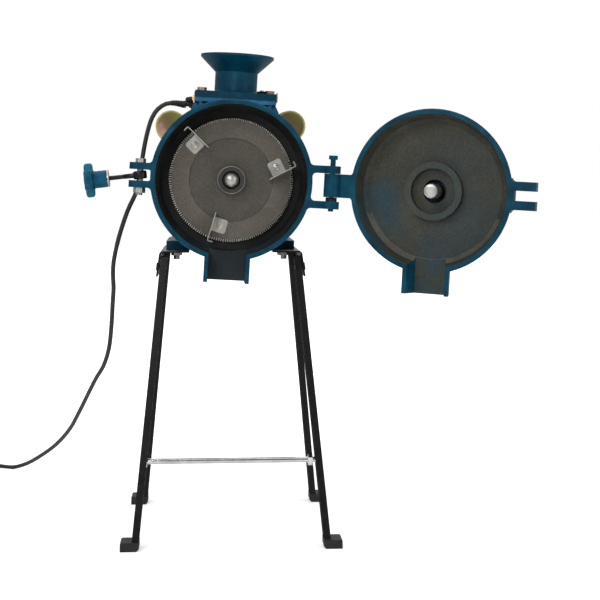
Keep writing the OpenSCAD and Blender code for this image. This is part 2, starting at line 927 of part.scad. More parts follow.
module feed_gate()
    color("silver")
        head_place() {
            block(
                [-gate_end, inlet_mid_y - gate_w / 2, inlet_h + gate_clearance / 2],
                [gate_tab_x + gate_t / 2, inlet_mid_y + gate_w / 2, inlet_h + gate_clearance / 2 + gate_t]
            );
            block(
                [gate_tab_x, inlet_mid_y - gate_w / 2, inlet_h + gate_clearance / 2],
                [gate_tab_x + gate_t, inlet_mid_y + gate_w / 2, inlet_h + gate_tab_h]
            );
        }

module hopper_bolts()
    color("dimgray")
        head_place()
            hopper_bolt_spots() {
                hex_z(hopper_bolt_head_r, hopper_plate_top, hopper_plate_top + hopper_bolt_head_t);
                rod_z(hopper_bolt_r, inlet_h - inlet_flange_t - hopper_bolt_tail, hopper_plate_top);
            }

// Cover with its half of the chute and its fork, drawn closed and then swung open

// The cover's half of the chute, narrower at the back, up to the drum
module cover_chute(half_w, back_y, front_y, low_z)
    translate([0, 0, low_z])
        linear_extrude(-chute_top - low_z)
            polygon([
                [-half_w, front_y], [half_w, front_y], [half_w - cover_draft, back_y],
                [-half_w + cover_draft, back_y]
            ]);

module cover()
    color("steelblue")
        cover_place()
            difference() {
                union() {
                    turned_y([
                        [0, -face_gap], [drum_r - rim_chamfer, -face_gap], [drum_r, -face_gap - rim_chamfer],
                        [drum_r - cover_draft, cover_front_y + back_chamfer],
                        [drum_r - cover_draft - back_chamfer, cover_front_y],
                        [screw_boss_r + rim_chamfer, cover_front_y],
                        [screw_boss_r, cover_front_y - rim_chamfer],
                        [screw_boss_r - rim_chamfer, screw_boss_y], [0, screw_boss_y]
                    ]);
                    cover_chute(cover_chute_w / 2, -cover_chute_depth, -face_gap, -cover_chute_drop);
                    block([-fork_end, -fork_depth - face_gap, -fork_gap / 2 - prong_t],
                        [-drum_r + fork_root, -face_gap, fork_gap / 2 + prong_t]);
                    translate([hinge_x, 0, 0])
                        rod_z(knuckle_r, -knuckle_h / 2, knuckle_h / 2);
                    block([drum_r - lug_root, -face_gap - lug_arm_t, -knuckle_h / 2],
                        [hinge_x, -face_gap, knuckle_h / 2]);
                    for (way = sides) {
                        root_fillet(way * knuckle_h / 2, way, root_fillet_in_r, -face_gap - lug_arm_t,
                            -face_gap);
                        mirror([1, 0, 0])
                            root_fillet(way * (fork_gap / 2 + prong_t), way, root_fillet_r,
                                -fork_depth - face_gap, -face_gap);
                    }
                }
                difference() {
                    turned_y([
                        [0, over], [chamber_r, over], [chamber_r, -face_gap],
                        [chamber_r - cover_draft, -cover_depth + chamber_cove],
                        [chamber_r - cover_draft - chamber_cove, -cover_depth], [0, -cover_depth]
                    ]);
                    ring_y(boss_r, recess_r, -cover_depth - over, -cover_depth + boss_h);
                }
                cover_chute(cover_chute_w / 2 - chute_wall, -cover_chute_depth + chute_wall, over,
                    -cover_chute_drop - over);
                block([-fork_end - over, -fork_depth - over, -fork_gap / 2],
                    [-fork_slot_end, over, fork_gap / 2]);
                rod_y(pin_hole_r, -cover_depth - pin_hole_depth, 0);
                rod_y(screw_r + fit, screw_boss_y - over, 0);
                translate([hinge_x, 0, 0])
                    rod_z(hinge_pin_r + fit, -knuckle_h, knuckle_h);
            }

module hinge_pin()
    color("steelblue")
        head_place()
            translate([hinge_x, 0, 0]) {
                rod_z(hinge_pin_r, -hinge_lug_z - hinge_spacer_t - hinge_lug_t - hinge_tail,
                    hinge_lug_z + hinge_lug_t + hinge_pin_proud);
                rod_z(hinge_spacer_r, -hinge_lug_z - hinge_spacer_t, -hinge_lug_z);
                rod_z(hinge_head_r, hinge_lug_z + hinge_lug_t + hinge_pin_proud - hinge_head_t,
                    hinge_lug_z + hinge_lug_t + hinge_pin_proud);
            }

module thrust_pin()
    color("silver")
        cover_place()
            turned_y([
                [0, pin_tip_y], [pin_r - pin_dome * 2, pin_tip_y],
                [pin_r - pin_dome / 2, pin_tip_y - pin_dome / 2],
                [pin_r, pin_tip_y - pin_dome * 2], [pin_r, pin_tip_y - pin_head_len],
                [pin_stem_r, pin_tip_y - pin_head_len],
                [pin_stem_r, pin_tip_y - pin_head_len - pin_stem_len],
                [0, pin_tip_y - pin_head_len - pin_stem_len]
            ]);

module adjusting_screw()
    color("dimgray")
        cover_place()
            difference() {
                rod_y(screw_r, knob_back_y - screw_knob_star_t - screw_knob_hub_l, screw_in_y);
                rod_y(pin_stem_r + fit, screw_in_y - pin_stem_len - over, screw_in_y + over);
            }

module star(r, thick)
    linear_extrude(thick) {
        circle(r = r * star_core_share);
        for (i = [0:lobe_count - 1])
            rotate(i * 360 / lobe_count)
                translate([r * (1 - lobe_share), 0])
                    circle(r = r * lobe_share);
    }

module adjusting_knob()
    color("steelblue")
        cover_place()
            difference() {
                union() {
                    rod_y(screw_knob_hub_r, knob_back_y - screw_knob_hub_l - seat, knob_back_y);
                    translate([0, knob_back_y - screw_knob_hub_l, 0])
                        rotate([90, 0, 0])
                            star(screw_knob_star_r, screw_knob_star_t);
                }
                rod_y(screw_r + fit, knob_back_y - screw_knob_star_t - screw_knob_hub_l - over,
                    knob_back_y + over);
            }

module lock_nut()
    color("silver")
        cover_place()
            difference() {
                translate([0, screw_boss_y, 0])
                    rotate([90, 0, 0])
                        cylinder(r = lock_nut_r, h = lock_nut_t, $fn = 6);
                rod_y(screw_r + fit, screw_boss_y - lock_nut_t - over, screw_boss_y + over);
            }

// Clamp: pivot bolt, swing bolt, washer and star knob

module pivot_bolt() {
    lug_z = pivot_gap / 2 + pivot_lug_t;
    color("silver")
        head_place()
            translate([-pivot_x, pivot_y, 0]) {
                rod_z(pivot_bolt_r, -lug_z - pivot_nut_t - pivot_tail, lug_z + pivot_head_t);
                hex_z(pivot_head_r, lug_z, lug_z + pivot_head_t);
                hex_z(pivot_nut_r, -lug_z - pivot_nut_t, -lug_z);
            }
}

module swing_bolt()
    color("black")
        swing_place() {
            difference() {
                union() {
                    rod_z(eye_r, -eye_h / 2, eye_h / 2);
                    rod_x(rod_r, -rod_len, -eye_bore_r - eye_wall / 2);
                }
                rod_z(eye_bore_r, -eye_h, eye_h);
            }
        }

module clamp_washer()
    color("silver")
        swing_place()
            difference() {
                rod_x(washer_r, -washer_place - washer_t, -washer_place);
                rod_x(rod_r + fit, -rod_len, 0);
            }

module clamp_knob() {
    knob_in = -washer_place - washer_t - face_gap;
    star_in = knob_in - knob_hub_l + knob_star_lap;
    color("steelblue")
        swing_place()
            difference() {
                union() {
                    rod_x(knob_hub_r, star_in - seat, knob_in);
                    translate([star_in, 0, 0])
                        rotate([0, -90, 0])
                            star(star_r, knob_star_l);
                }
                rod_x(rod_r + fit, -rod_len * 2, 0);
            }
}

// Motor

module bolt_rows()
    for (x = sides, y = sides)
        translate([x * foot_bolt_x / 2, foot_mid_y + y * foot_bolt_y / 2, 0])
            children();

module motor_frame()
    color("steelblue")
        motor_place()
            difference() {
                union() {
                    rod_y(frame_r, frame_front_y, frame_back_y);
                    for (i = [0:rib_count - 1])
                        let (angle = i * 360 / rib_count)
                        if (angle > rib_free_top && angle < 180 - rib_free_bottom
                            || angle > 180 + rib_free_bottom && angle < 360 - rib_free_top)
                            rotate([0, angle, 0])
                                block([-rib_t / 2, frame_front_y + rib_h, frame_bore_r + seat],
                                    [rib_t / 2, frame_back_y - rib_h, rib_r]);
                    block([-pad_w / 2, box_mid_y - box_len / 2, frame_r / 2],
                        [pad_w / 2, box_mid_y + box_len / 2, box_floor_z]);
                    for (side = sides)
                        translate([side * foot_bolt_x / 2, foot_mid_y, -motor_h]) {
                            translate([side * (foot_out - foot_in) / 2, 0, 0])
                                block([-(foot_in + foot_out) / 2, -foot_bolt_y / 2 - foot_margin, 0],
                                    [(foot_in + foot_out) / 2, foot_bolt_y / 2 + foot_margin, foot_t]);
                            translate([side * (foot_web_w / 2 - foot_in), 0, 0])
                                block([-foot_web_w / 2, frame_front_y - foot_mid_y, 0],
                                    [foot_web_w / 2, foot_bolt_y / 2 + foot_margin, foot_web_h]);
                        }
                }
                rod_y(frame_bore_r, frame_front_y - over, frame_back_y + over);
                bolt_rows()
                    rod_z(foot_bolt_r + fit, -motor_h - over, -motor_h + foot_t + over);
            }

// An end shield from its outer face at 0 towards the motor's inside
module shield_shape()
    difference() {
        turned_y([
            [0, 0], [shield_r - shield_chamfer, 0], [shield_r, shield_chamfer], [shield_r, shield_t],
            [shield_hub_r, shield_t], [shield_hub_r, shield_t + shield_hub_len],
            [0, shield_t + shield_hub_len]
        ]);
        rod_y(bearing_r + fit, bearing_lip, shield_t + shield_hub_len + over);
        rod_y(shield_hole_r, -over, shield_t);
    }

module front_shield()
    color("steelblue")
        motor_place()
            translate([0, motor_front_y, 0])
                shield_shape();

module rear_shield()
    color("steelblue")
        motor_place()
            difference() {
                translate([0, motor_back_y, 0])
                    mirror([0, 1, 0])
                        shield_shape();
                cover_screw_spots()
                    rod_z(cover_screw_r + fit, -cover_screw_len, cover_screw_len);
            }

module bearing_shape(from)
    turned_y([
        [shaft_r + fit, from], [bearing_r, from], [bearing_r, from + bearing_t],
        [shaft_r + fit, from + bearing_t],
        [shaft_r + fit, from + bearing_t - bearing_groove],
        [shaft_r + fit, from + bearing_groove]
    ]);

module front_bearing() color("silver") motor_place() bearing_shape(motor_front_y + bearing_lip);

module rear_bearing() color("silver") motor_place() bearing_shape(motor_back_y - bearing_lip - bearing_t);

module stator_core()
    color("gray")
        motor_place()
            ring_y(frame_bore_r - fit, stator_in_r, core_y, core_y + core_len);

module stator_windings()
    color("peru")
        motor_place() {
            ring_y(coil_end_out_r, coil_end_in_r, core_y - coil_end_len, core_y);
            ring_y(coil_end_out_r, coil_end_in_r, core_y + core_len, core_y + core_len + coil_end_len);
        }

module rotor_core() color("gray") motor_place() ring_y(rotor_r, shaft_r + fit, core_y, core_y + core_len);

module motor_shaft() {
    front = flange_y + disc_front_y + seat;
    color("silver")
        motor_place()
            rod_y(shaft_r, front, shaft_back_y);
}

module cooling_fan()
    color("black")
        motor_place()
            difference() {
                union() {
                    rod_y(fan_hub_r, fan_y, fan_y + fan_hub_len);
                    for (i = [0:blade_count - 1])
                        rotate([0, i * 360 / blade_count, 0])
                            block([-blade_t / 2, fan_y, shaft_r + seat],
                                [blade_t / 2, fan_y + fan_hub_len, fan_r]);
                }
                rod_y(shaft_r + fit, fan_y - over, fan_y + fan_hub_len + over);
            }

module cover_screw_spots()
    for (angle = cover_screw_angles)
        translate([0, motor_back_y - fan_cover_lap / 2, 0])
            around_y(angle, shield_r + fan_cover_t)
                children();

module fan_cover()
    color("black")
        motor_place()
            difference() {
                turned_y([
                    [0, fan_cover_back_y], [shield_r - shield_chamfer, fan_cover_back_y],
                    [shield_r + fit + fan_cover_t, fan_cover_back_y - shield_chamfer],
                    [shield_r + fit + fan_cover_t, fan_cover_y], [shield_r + fit, fan_cover_y],
                    [shield_r + fit, fan_cover_back_y - shield_chamfer - fan_cover_t / 2],
                    [shield_r - shield_chamfer, fan_cover_back_y - fan_cover_t],
                    [0, fan_cover_back_y - fan_cover_t]
                ]);
                for (i = [0:slot_count - 1])
                    rotate([0, i * 360 / slot_count, 0])
                        block([-slot_w / 2, fan_cover_back_y - fan_cover_t - over, slot_in_r],
                            [slot_w / 2, fan_cover_back_y + over, slot_out_r]);
                cover_screw_spots()
                    rod_z(cover_screw_r + fit, -cover_screw_len, cover_screw_len);
            }

module fan_cover_screws()
    color("silver")
        motor_place()
            cover_screw_spots() {
                rod_z(cover_screw_head_r, fit * 2, cover_screw_head_t);
                rod_z(cover_screw_r, -cover_screw_len, fit * 2);
            }

module capacitor(side)
    color("khaki")
        motor_place()
            around_y(side * can_angle, can_place_r)
                turned_y([
                    [0, can_front_y + can_step], [can_r - can_rim, can_front_y + can_step],
                    [can_r - can_rim, can_front_y], [can_r, can_front_y], [can_r, can_front_y + can_rim_len],
                    [can_r, can_front_y + can_len], [0, can_front_y + can_len]
                ]);

module capacitor_left() capacitor(-1);

module capacitor_right() capacitor(1);

module capacitor_clamps()
    color("silver")
        motor_place()
            for (side = sides, share = strap_share)
                let (from = can_front_y + can_len * share)
                around_y(side * can_angle, can_place_r)
                    ring_y(can_r + fit + strap_t, can_r + fit, from - strap_w / 2, from + strap_w / 2);

// Switch box on the motor

module box_posts(r, from, to)
    for (corner = corners)
        translate([
            corner[0] * (box_w / 2 - box_post_inset),
            box_mid_y + corner[1] * (box_len / 2 - box_post_inset),
            0
        ])
            rod_z(r, from, to);

module box_outline(grow, from, to)
    block([-box_w / 2 - grow, box_mid_y - box_len / 2 - grow, from],
        [box_w / 2 + grow, box_mid_y + box_len / 2 + grow, to]);

module switch_box()
    color("black")
        motor_place()
            difference() {
                union() {
                    difference() {
                        box_outline(0, box_floor_z, box_top_z);
                        box_outline(-box_wall, box_floor_z + box_wall, box_top_z + over);
                    }
                    box_posts(box_post_r, box_floor_z + seat, box_top_z);
                }
                box_posts(lid_screw_r + fit, box_top_z - lid_screw_len - over, box_top_z + over);
                translate([0, toggle_y, toggle_z])
                    rod_x(toggle_bush_r + fit, -box_w, 0);
                translate([0, gland_y, gland_z])
                    rod_x(gland_hole_r + fit, -box_w, 0);
            }

module switch_box_lid()
    color("black")
        motor_place()
            difference() {
                box_outline(0, box_top_z, box_top_z + lid_t);
                box_posts(lid_screw_r + fit, box_top_z - over, box_top_z + lid_t + over);
            }

module lid_screws()
    color("silver")
        motor_place() {
            box_posts(lid_screw_head_r, box_top_z + lid_t, box_top_z + lid_t + lid_screw_head_t);
            box_posts(lid_screw_r, box_top_z - lid_screw_len, box_top_z + lid_t);
        }

module terminal_block()
    color("ivory")
        motor_place()
            difference() {
                translate([0, box_mid_y, box_floor_z + box_wall])
                    block([-terminal_x / 2, -terminal_y / 2, 0],
                        [terminal_x / 2, terminal_y / 2, terminal_z]);
                for (i = [0:terminal_pole_count - 1])
                    translate([(i - (terminal_pole_count - 1) / 2) * terminal_x / terminal_pole_count,
                        box_mid_y, 0])
                        rod_z(terminal_pole_r, box_floor_z + terminal_z / 2, box_top_z);
            }

module toggle_place() motor_place() translate([-box_w / 2, toggle_y, toggle_z]) children();

module toggle_body()
    color("goldenrod")
        toggle_place()
            difference() {
                union() {
                    rod_x(toggle_bush_r, -toggle_bush_out, box_wall);
                    rotate([0, -90, 0])
                        cylinder(r = toggle_nut_r, h = toggle_nut_t, $fn = 6);
                    block([box_wall, -toggle_case / 2, -toggle_case / 2],
                        [box_wall + toggle_case, toggle_case / 2, toggle_bush_r]);
                }
                translate([-toggle_bush_out, 0, 0])
                    rod_z(toggle_barrel_r + face_gap, -toggle_barrel_h / 2 - face_gap,
                        toggle_barrel_h / 2 + face_gap);
            }

module toggle_lever()
    color("black")
        toggle_place()
            translate([-toggle_bush_out, 0, 0])
                rotate([0, 0, toggle_tilt]) {
                    rod_z(toggle_barrel_r, -toggle_barrel_h / 2, toggle_barrel_h / 2);
                    rotate([0, -90, 0])
                        rotate_extrude()
                            polygon([
                                [0, toggle_root_out], [toggle_root_r, toggle_root_out],
                                [toggle_root_r, toggle_len / 2],
                                [toggle_tip_r, toggle_len - edge], [toggle_tip_r - edge, toggle_len],
                                [0, toggle_len]
                            ]);
                }

module cable_gland()
    color("black")
        motor_place()
            translate([-box_w / 2, gland_y, gland_z])
                rotate([0, -90, 0]) {
                    rotate_extrude()
                        polygon([
                            [0, -box_wall], [gland_hole_r, -box_wall], [gland_hole_r, 0], [gland_r, 0],
                            [gland_r, gland_out - gland_taper], [gland_taper, gland_out], [0, gland_out]
                        ]);
                    rod_z(gland_nut_r, -box_wall - gland_nut_t, -box_wall);
                }

// Stand

module bracket_outline() {
    bend_x = bracket_out_x - bend_r;
    block_x = bracket_out_x - bracket_w;
    translate([block_x, -bracket_t])
        square([bend_x - block_x, bracket_t]);
    translate([bend_x, -bend_r]) {
        intersection() {
            difference() {
                circle(r = bend_r);
                circle(r = bend_r - bracket_t);
            }
            polygon([
                [0, 0], [0, bend_r * 2], [bend_r * 2, bend_r * 2],
                [bend_r * 2 * cos(flange_slope), bend_r * 2 * sin(flange_slope)]
            ]);
        }
        rotate(flange_slope)
            translate([bend_r - bracket_t, -flange_h])
                square([bracket_t, flange_h]);
    }
}

// Turns a piece drawn for the right-hand side to the side asked
module mirrored(side) mirror([side < 0 ? 1 : 0, 0, 0]) children();

module leg_bolt_spots(side)
    for (end = sides)
        mirrored(side)
            translate([leg_axis_x(leg_bolt_drop), end * leg_axis_y(leg_bolt_drop), leg_top_z - leg_bolt_drop])
                rotate([0, -flange_slope, 0])
                    children();

function leg_share(drop) = drop / (leg_top_z - sole_t);

function leg_axis_x(drop) = leg_top_x + (leg_foot_x - leg_top_x) * leg_share(drop);

function leg_axis_y(drop) = leg_top_y + (leg_foot_y - leg_top_y) * leg_share(drop);

module bracket(side)
    color("black")
        difference() {
            mirrored(side)
                translate([0, 0, bracket_top_z])
                    outline_y(bracket_mid_y - bracket_len / 2, bracket_mid_y + bracket_len / 2)
                        bracket_outline();
            translate([0, 0, bracket_top_z])
                bolt_rows()
                    rod_z(foot_bolt_r + fit, -foot_t, foot_t);
            leg_bolt_spots(side)
                rod_x(leg_bolt_r + fit, -leg_x, leg_x * 2);
        }

module bracket_left() bracket(-1);

module bracket_right() bracket(1);

module leg_slab(x, y, z, size_x, size_y)
    translate([x - size_x / 2, y - size_y / 2, z])
        cube([size_x, size_y, leg_slab_t]);

// The outside of a leg, grown all round by a clearance
module leg_outside(end, grow)
    hull() {
        leg_slab(leg_top_x, end * leg_top_y, leg_top_z - leg_slab_t, leg_x + grow * 2, leg_y + grow * 2);
        leg_slab(leg_foot_x, end * leg_foot_y, sole_t, leg_x + grow * 2, leg_y + grow * 2);
    }

module leg(side, end)
    color("black")
        difference() {
            mirrored(side) {
                difference() {
                    leg_outside(end, 0);
                    translate([-leg_wall, 0, 0])
                        hull() {
                            leg_slab(leg_top_x, end * leg_top_y, leg_top_z, leg_x, leg_y - leg_wall * 2);
                            leg_slab(leg_foot_x, end * leg_foot_y, sole_t, leg_x, leg_y - leg_wall * 2);
                        }
                }
                translate([leg_foot_x, end * leg_foot_y, sole_t])
                    block([-leg_x / 2, -leg_y / 2, 0], [leg_x / 2 + foot_tab_len, leg_y / 2, foot_tab_t]);
            }
            leg_bolt_spots(side)
                rod_x(leg_bolt_r + fit, -leg_x, leg_x * 2);
            tie_spots()
                rod_x(tie_r + fit, -leg_foot_x, leg_foot_x);
        }

module leg_front_left() leg(-1, -1);

module leg_front_right() leg(1, -1);

module leg_rear_left() leg(-1, 1);

module leg_rear_right() leg(1, 1);

module foot_caps()
    color("black")
        for (corner = corners)
            mirrored(corner[0])
                difference() {
                    translate([leg_foot_x + cap_shift, corner[1] * leg_foot_y, 0])
                        cap_block();
                    leg_outside(corner[1], fit);
                    translate([leg_foot_x, corner[1] * leg_foot_y, sole_t])
                        block([-leg_x / 2 - fit, -leg_y / 2 - fit, 0],
                            [leg_x / 2 + foot_tab_len + fit, leg_y / 2 + fit, foot_tab_t + fit]);
                }

module cap_block()
    translate([0, cap_y / 2, 0])
        rotate([90, 0, 0])
            linear_extrude(cap_y)
                polygon([
                    [-cap_x / 2 + cap_chamfer * 2, 0], [cap_x / 2, 0],
                    [cap_x / 2, cap_h - cap_chamfer], [cap_x / 2 - cap_chamfer, cap_h],
                    [-cap_x / 2, cap_h], [-cap_x / 2, cap_chamfer * 2]
                ]);

module leg_bolts() {
    nut_out = leg_x / 2 - leg_wall - seat;
    color("dimgray")
        for (side = sides)
            leg_bolt_spots(side) {
                rod_x(leg_bolt_r, -leg_x / 2, leg_bolt_out());
                rod_x(leg_bolt_head_r, leg_bolt_out(), leg_bolt_out() + leg_bolt_head_t);
                rod_x(leg_bolt_nut_r, nut_out - leg_bolt_nut_t, nut_out);
            }
}

// From the leg's middle to the flange's outer face, along a leg bolt
function leg_bolt_out() =
    (flange_top_x - leg_axis_x(leg_bolt_drop)) * cos(flange_slope)
    + (leg_top_drop + leg_bolt_drop - bend_r + bend_r * sin(flange_slope)) * sin(flange_slope);

module foot_bolts()
    color("silver")
        translate([0, 0, bracket_top_z])
            bolt_rows() {
                hex_z(foot_bolt_head_r, foot_t, foot_t + foot_bolt_head_t);
                rod_z(foot_bolt_r, -bracket_t - foot_nut_t - foot_bolt_tail, foot_t);
                hex_z(foot_bolt_head_r, -bracket_t - foot_nut_t, -bracket_t);
            }

module tie_spots() translate([0, -leg_axis_y(leg_top_z - tie_h), tie_h]) children();

module tie_nut(from)
    difference() {
        translate([from, 0, 0])
            rotate([0, 90, 0])
                cylinder(r = tie_nut_r, h = tie_nut_t, $fn = 6);
        rod_x(tie_r + fit, from - over, from + tie_nut_t + over);
    }

module tie_rod() {
    axis = leg_axis_x(leg_top_z - tie_h);
    color("silver")
        tie_spots() {
            rod_x(tie_r, -axis - leg_x / 2, axis + leg_x / 2);
            tie_nut(-axis - leg_x / 2 + leg_wall + tie_nut_slack);
            tie_nut(axis - leg_x / 2 - tie_nut_gap - tie_nut_t);
        }
}

// Cord, its piled coil, its tie and the plug

function unit(v) = v / norm(v);

function between(a, b, c, d, t) =
    (b * 2 + (c - a) * t + (a * 2 - b * 5 + c * 4 - d) * t * t + (b * 3 - a - c * 3 + d) * t * t * t) / 2;

function ring(place, along, side, r, count) =
    let (u = unit(side - along * (side * along)), v = cross(along, u))
    [for (i = [0:count - 1]) place + (u * cos(i * 360 / count) + v * sin(i * 360 / count)) * r];

function directions(way) = [
    for (i = [0:len(way) - 1])
        unit(way[min(i + 1, len(way) - 1)] - way[max(i - 1, 0)])
];

module tube(way, r, count, side) {
    along = directions(way);
    rings = [for (i = [0:len(way) - 1]) each ring(way[i], along[i], side, r, count)];
    last = (len(way) - 1) * count;
    skin = [
        for (i = [0:len(way) - 2], j = [0:count - 1], half = [0, 1])
            let (a = i * count + j, b = i * count + (j + 1) % count)
            half == 0 ? [a, b, b + count] : [a, b + count, a + count]
    ];
    near_end = [for (j = [1:count - 2]) [0, j + 1, j]];
    far_end = [for (j = [1:count - 2]) [last, last + j, last + j + 1]];
    polyhedron(rings, concat(skin, near_end, far_end));
}

function coil_point(t) =
    let (
        r = coil_in_r + coil_pitch * abs(t - coil_angle / 2) / 360,
        climb = max(0, min(1, (t - coil_angle / 2) / 180 + 0.5))
    )
    [
        coil_centre[0] + r * cos(coil_start + t), coil_centre[1] + r * sin(coil_start + t),
        coil_floor + coil_layer * (1 - cos(climb * 180)) / 2
    ];

function coil_heading(t) = [-sin(coil_start + t), cos(coil_start + t), 0];

coil_steps = round(coil_angle / 360 * coil_rings);
coil_entry = coil_point(0) - coil_heading(0) * coil_lead;
coil_exit = coil_point(coil_angle) + coil_heading(coil_angle) * plug_lead;
coil_way = concat(
    [coil_entry],
    [for (i = [0:coil_steps]) coil_point(i * coil_angle / coil_steps)],
    [coil_exit]
);

cord_ends = concat(
    [cord_points[0] + [cord_d, 0, 0]], cord_points,
    [coil_entry - coil_heading(0) * cord_d, coil_entry, coil_entry + coil_heading(0) * cord_d]
);
cord_way = concat(
    [
        for (i = [1:len(cord_ends) - 3])
            let (count = max(1, round(norm(cord_ends[i + 1] - cord_ends[i]) / cord_step)))
            for (j = [0:count - 1])
                between(cord_ends[i - 1], cord_ends[i], cord_ends[i + 1], cord_ends[i + 2], j / count)
    ],
    [coil_entry]
);

function way_len(way) =
    let (steps = [for (i = [1:len(way) - 1]) norm(way[i] - way[i - 1])])
    steps * [for (step = steps) 1];

coil_least_gap = min([
    for (i = [0:len(coil_way) - 1], j = [i + coil_rings / 2:len(coil_way) - 1])
        norm(coil_way[i] - coil_way[j])
]) - cord_d;

echo(coil_least_gap = coil_least_gap, coil_len = way_len(coil_way), cord_len = way_len(cord_way),
    cord_rings = len(cord_way));

module cord() color("black") tube(cord_way, cord_r, cord_sides, [0, 1, 0]);

module cord_coil() color("black") tube(coil_way, cord_r, coil_sides, [0, 0, 1]);

module coil_tie()
    color("black")
        translate([coil_centre[0], coil_centre[1], 0])
            rotate(tie_angle)
                difference() {
                    block([tie_in_r - tie_t, -tie_w / 2, 0],
                        [tie_out_r + tie_t, tie_w / 2, tie_top_z + tie_t]);
                    block([tie_in_r, -tie_w, tie_t], [tie_out_r, tie_w, tie_top_z]);
                }

module plug_place()
    translate(coil_exit)
        rotate(coil_start + coil_angle + 90)
            children();

module plug_body()
    color("black")
        plug_place() {
            rod_x(plug_neck_r, 0, plug_neck_len + seat);
            difference() {
                translate([0, 0, -coil_exit[2]])
                    linear_extrude(coil_exit[2] * 2)
                        polygon([
                            [plug_neck_len, -plug_neck_r], [plug_neck_len + plug_chamfer * 2, -plug_w / 2],
                            [plug_len - plug_chamfer, -plug_w / 2], [plug_len, -plug_face_w / 2],
                            [plug_len + plug_chamfer, -plug_face_w / 2],
                            [plug_len + plug_chamfer, plug_face_w / 2], [plug_len, plug_face_w / 2],
                            [plug_len - plug_chamfer, plug_w / 2],
                            [plug_neck_len + plug_chamfer * 2, plug_w / 2], [plug_neck_len, plug_neck_r]
                        ]);
                for (side = sides)
                    translate([0, side * plug_pin_gap / 2, 0])
                        rod_x(plug_pin_r + fit, plug_len - plug_chamfer * 2, plug_len * 2);
            }
        }

module plug_pins()
    color("silver")
        plug_place()
            for (side = sides)
                translate([0, side * plug_pin_gap / 2, 0])
                    rod_x(plug_pin_r, plug_len - plug_chamfer * 2, plug_len + plug_chamfer + plug_pin_len);

mill_body();
fixed_plate();
fixed_plate_screws();
grinding_disc();
scrapers();
scraper_screws();
thrust_ball();
feed_auger();
shaft_seal();
hopper();
hopper_gasket();
hopper_bolts();
feed_gate();
cover();
hinge_pin();
thrust_pin();
adjusting_screw();
adjusting_knob();
lock_nut();
pivot_bolt();
swing_bolt();
clamp_washer();
clamp_knob();
motor_frame();
front_shield();
rear_shield();
front_bearing();
rear_bearing();
stator_core();
stator_windings();
rotor_core();
motor_shaft();
cooling_fan();
fan_cover();
fan_cover_screws();
capacitor_left();
capacitor_right();
capacitor_clamps();
switch_box();
switch_box_lid();
lid_screws();
terminal_block();
toggle_body();
toggle_lever();
cable_gland();
bracket_left();
bracket_right();
leg_front_left();
leg_front_right();
leg_rear_left();
leg_rear_right();
foot_caps();
leg_bolts();
foot_bolts();
tie_rod();
cord();
cord_coil();
coil_tie();
plug_body();
plug_pins();
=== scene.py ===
"""Electric grain mill on a splayed stand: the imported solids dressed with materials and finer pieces."""

import math

import bmesh
import bpy
from mathutils import Matrix, Vector


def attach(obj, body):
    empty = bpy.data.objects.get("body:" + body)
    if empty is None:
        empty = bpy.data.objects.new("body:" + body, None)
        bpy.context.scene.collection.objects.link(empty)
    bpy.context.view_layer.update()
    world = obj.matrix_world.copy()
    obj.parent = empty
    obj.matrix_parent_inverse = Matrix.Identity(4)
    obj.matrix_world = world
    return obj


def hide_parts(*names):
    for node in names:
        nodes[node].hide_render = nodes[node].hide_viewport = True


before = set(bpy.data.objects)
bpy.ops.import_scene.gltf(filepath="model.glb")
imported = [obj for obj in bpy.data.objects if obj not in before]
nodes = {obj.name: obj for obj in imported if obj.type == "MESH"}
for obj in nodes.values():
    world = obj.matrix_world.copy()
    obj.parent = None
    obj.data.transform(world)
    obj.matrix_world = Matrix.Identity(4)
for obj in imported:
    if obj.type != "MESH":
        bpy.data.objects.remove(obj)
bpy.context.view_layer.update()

# The scene is in metres, and the places and sizes here in millimetres, like the solids
MM = 0.001

# Places of the mill: shaft, roll of the head, joint face, hinge, swing bolt
SHAFT_H = 453
HEAD_ROLL = math.radians(3.2)
FLANGE_Y = -130
HINGE_X = 124
COVER_OPEN = math.radians(158)
PIVOT_X, PIVOT_Y = 112.7, 9
CLAMP_DROOP = math.radians(9.5)


def turn(angle, axis):
    return Matrix.Rotation(angle, 4, axis)


def move(x, y, z):
    return Matrix.Translation(Vector((x, y, z)) * MM)


# Frames of the head, the open cover, the swing bolt and the motor
HEAD = move(0, FLANGE_Y, SHAFT_H) @ turn(HEAD_ROLL, "Y")
COVER = HEAD @ move(HINGE_X, 0, 0) @ turn(COVER_OPEN, "Z") @ move(-HINGE_X, 0, 0)
SWING = HEAD @ move(-PIVOT_X, PIVOT_Y, 0) @ turn(-CLAMP_DROOP, "Y")
MOTOR = move(0, 0, SHAFT_H)


# Camera: a long lens at shaft height, level, shifted down to hold the whole mill
CAMERA_PLACE = (-27.0, -1874.8, 453)
CAMERA_YAW = math.radians(3.65)
LENS, SENSOR, DROP = 85, 36, -0.2


def make_camera():
    data = bpy.data.cameras.new("camera")
    data.lens = LENS
    data.sensor_width = SENSOR
    data.shift_y = DROP
    data.clip_end = 50
    camera = bpy.data.objects.new("camera", data)
    camera.matrix_world = (
        move(*CAMERA_PLACE)
        @ turn(-CAMERA_YAW, "Z")
        @ turn(math.pi / 2, "X")
    )
    bpy.context.collection.objects.link(camera)
    bpy.context.scene.camera = camera


# Materials

def new_material(name):
    made = bpy.data.materials.new(name)
    made.use_nodes = True
    tree = made.node_tree
    return made, tree, tree.nodes["Principled BSDF"]


def add(tree, kind, **values):
    node = tree.nodes.new(kind)
    for key, value in values.items():
        setattr(node, key, value)
    return node


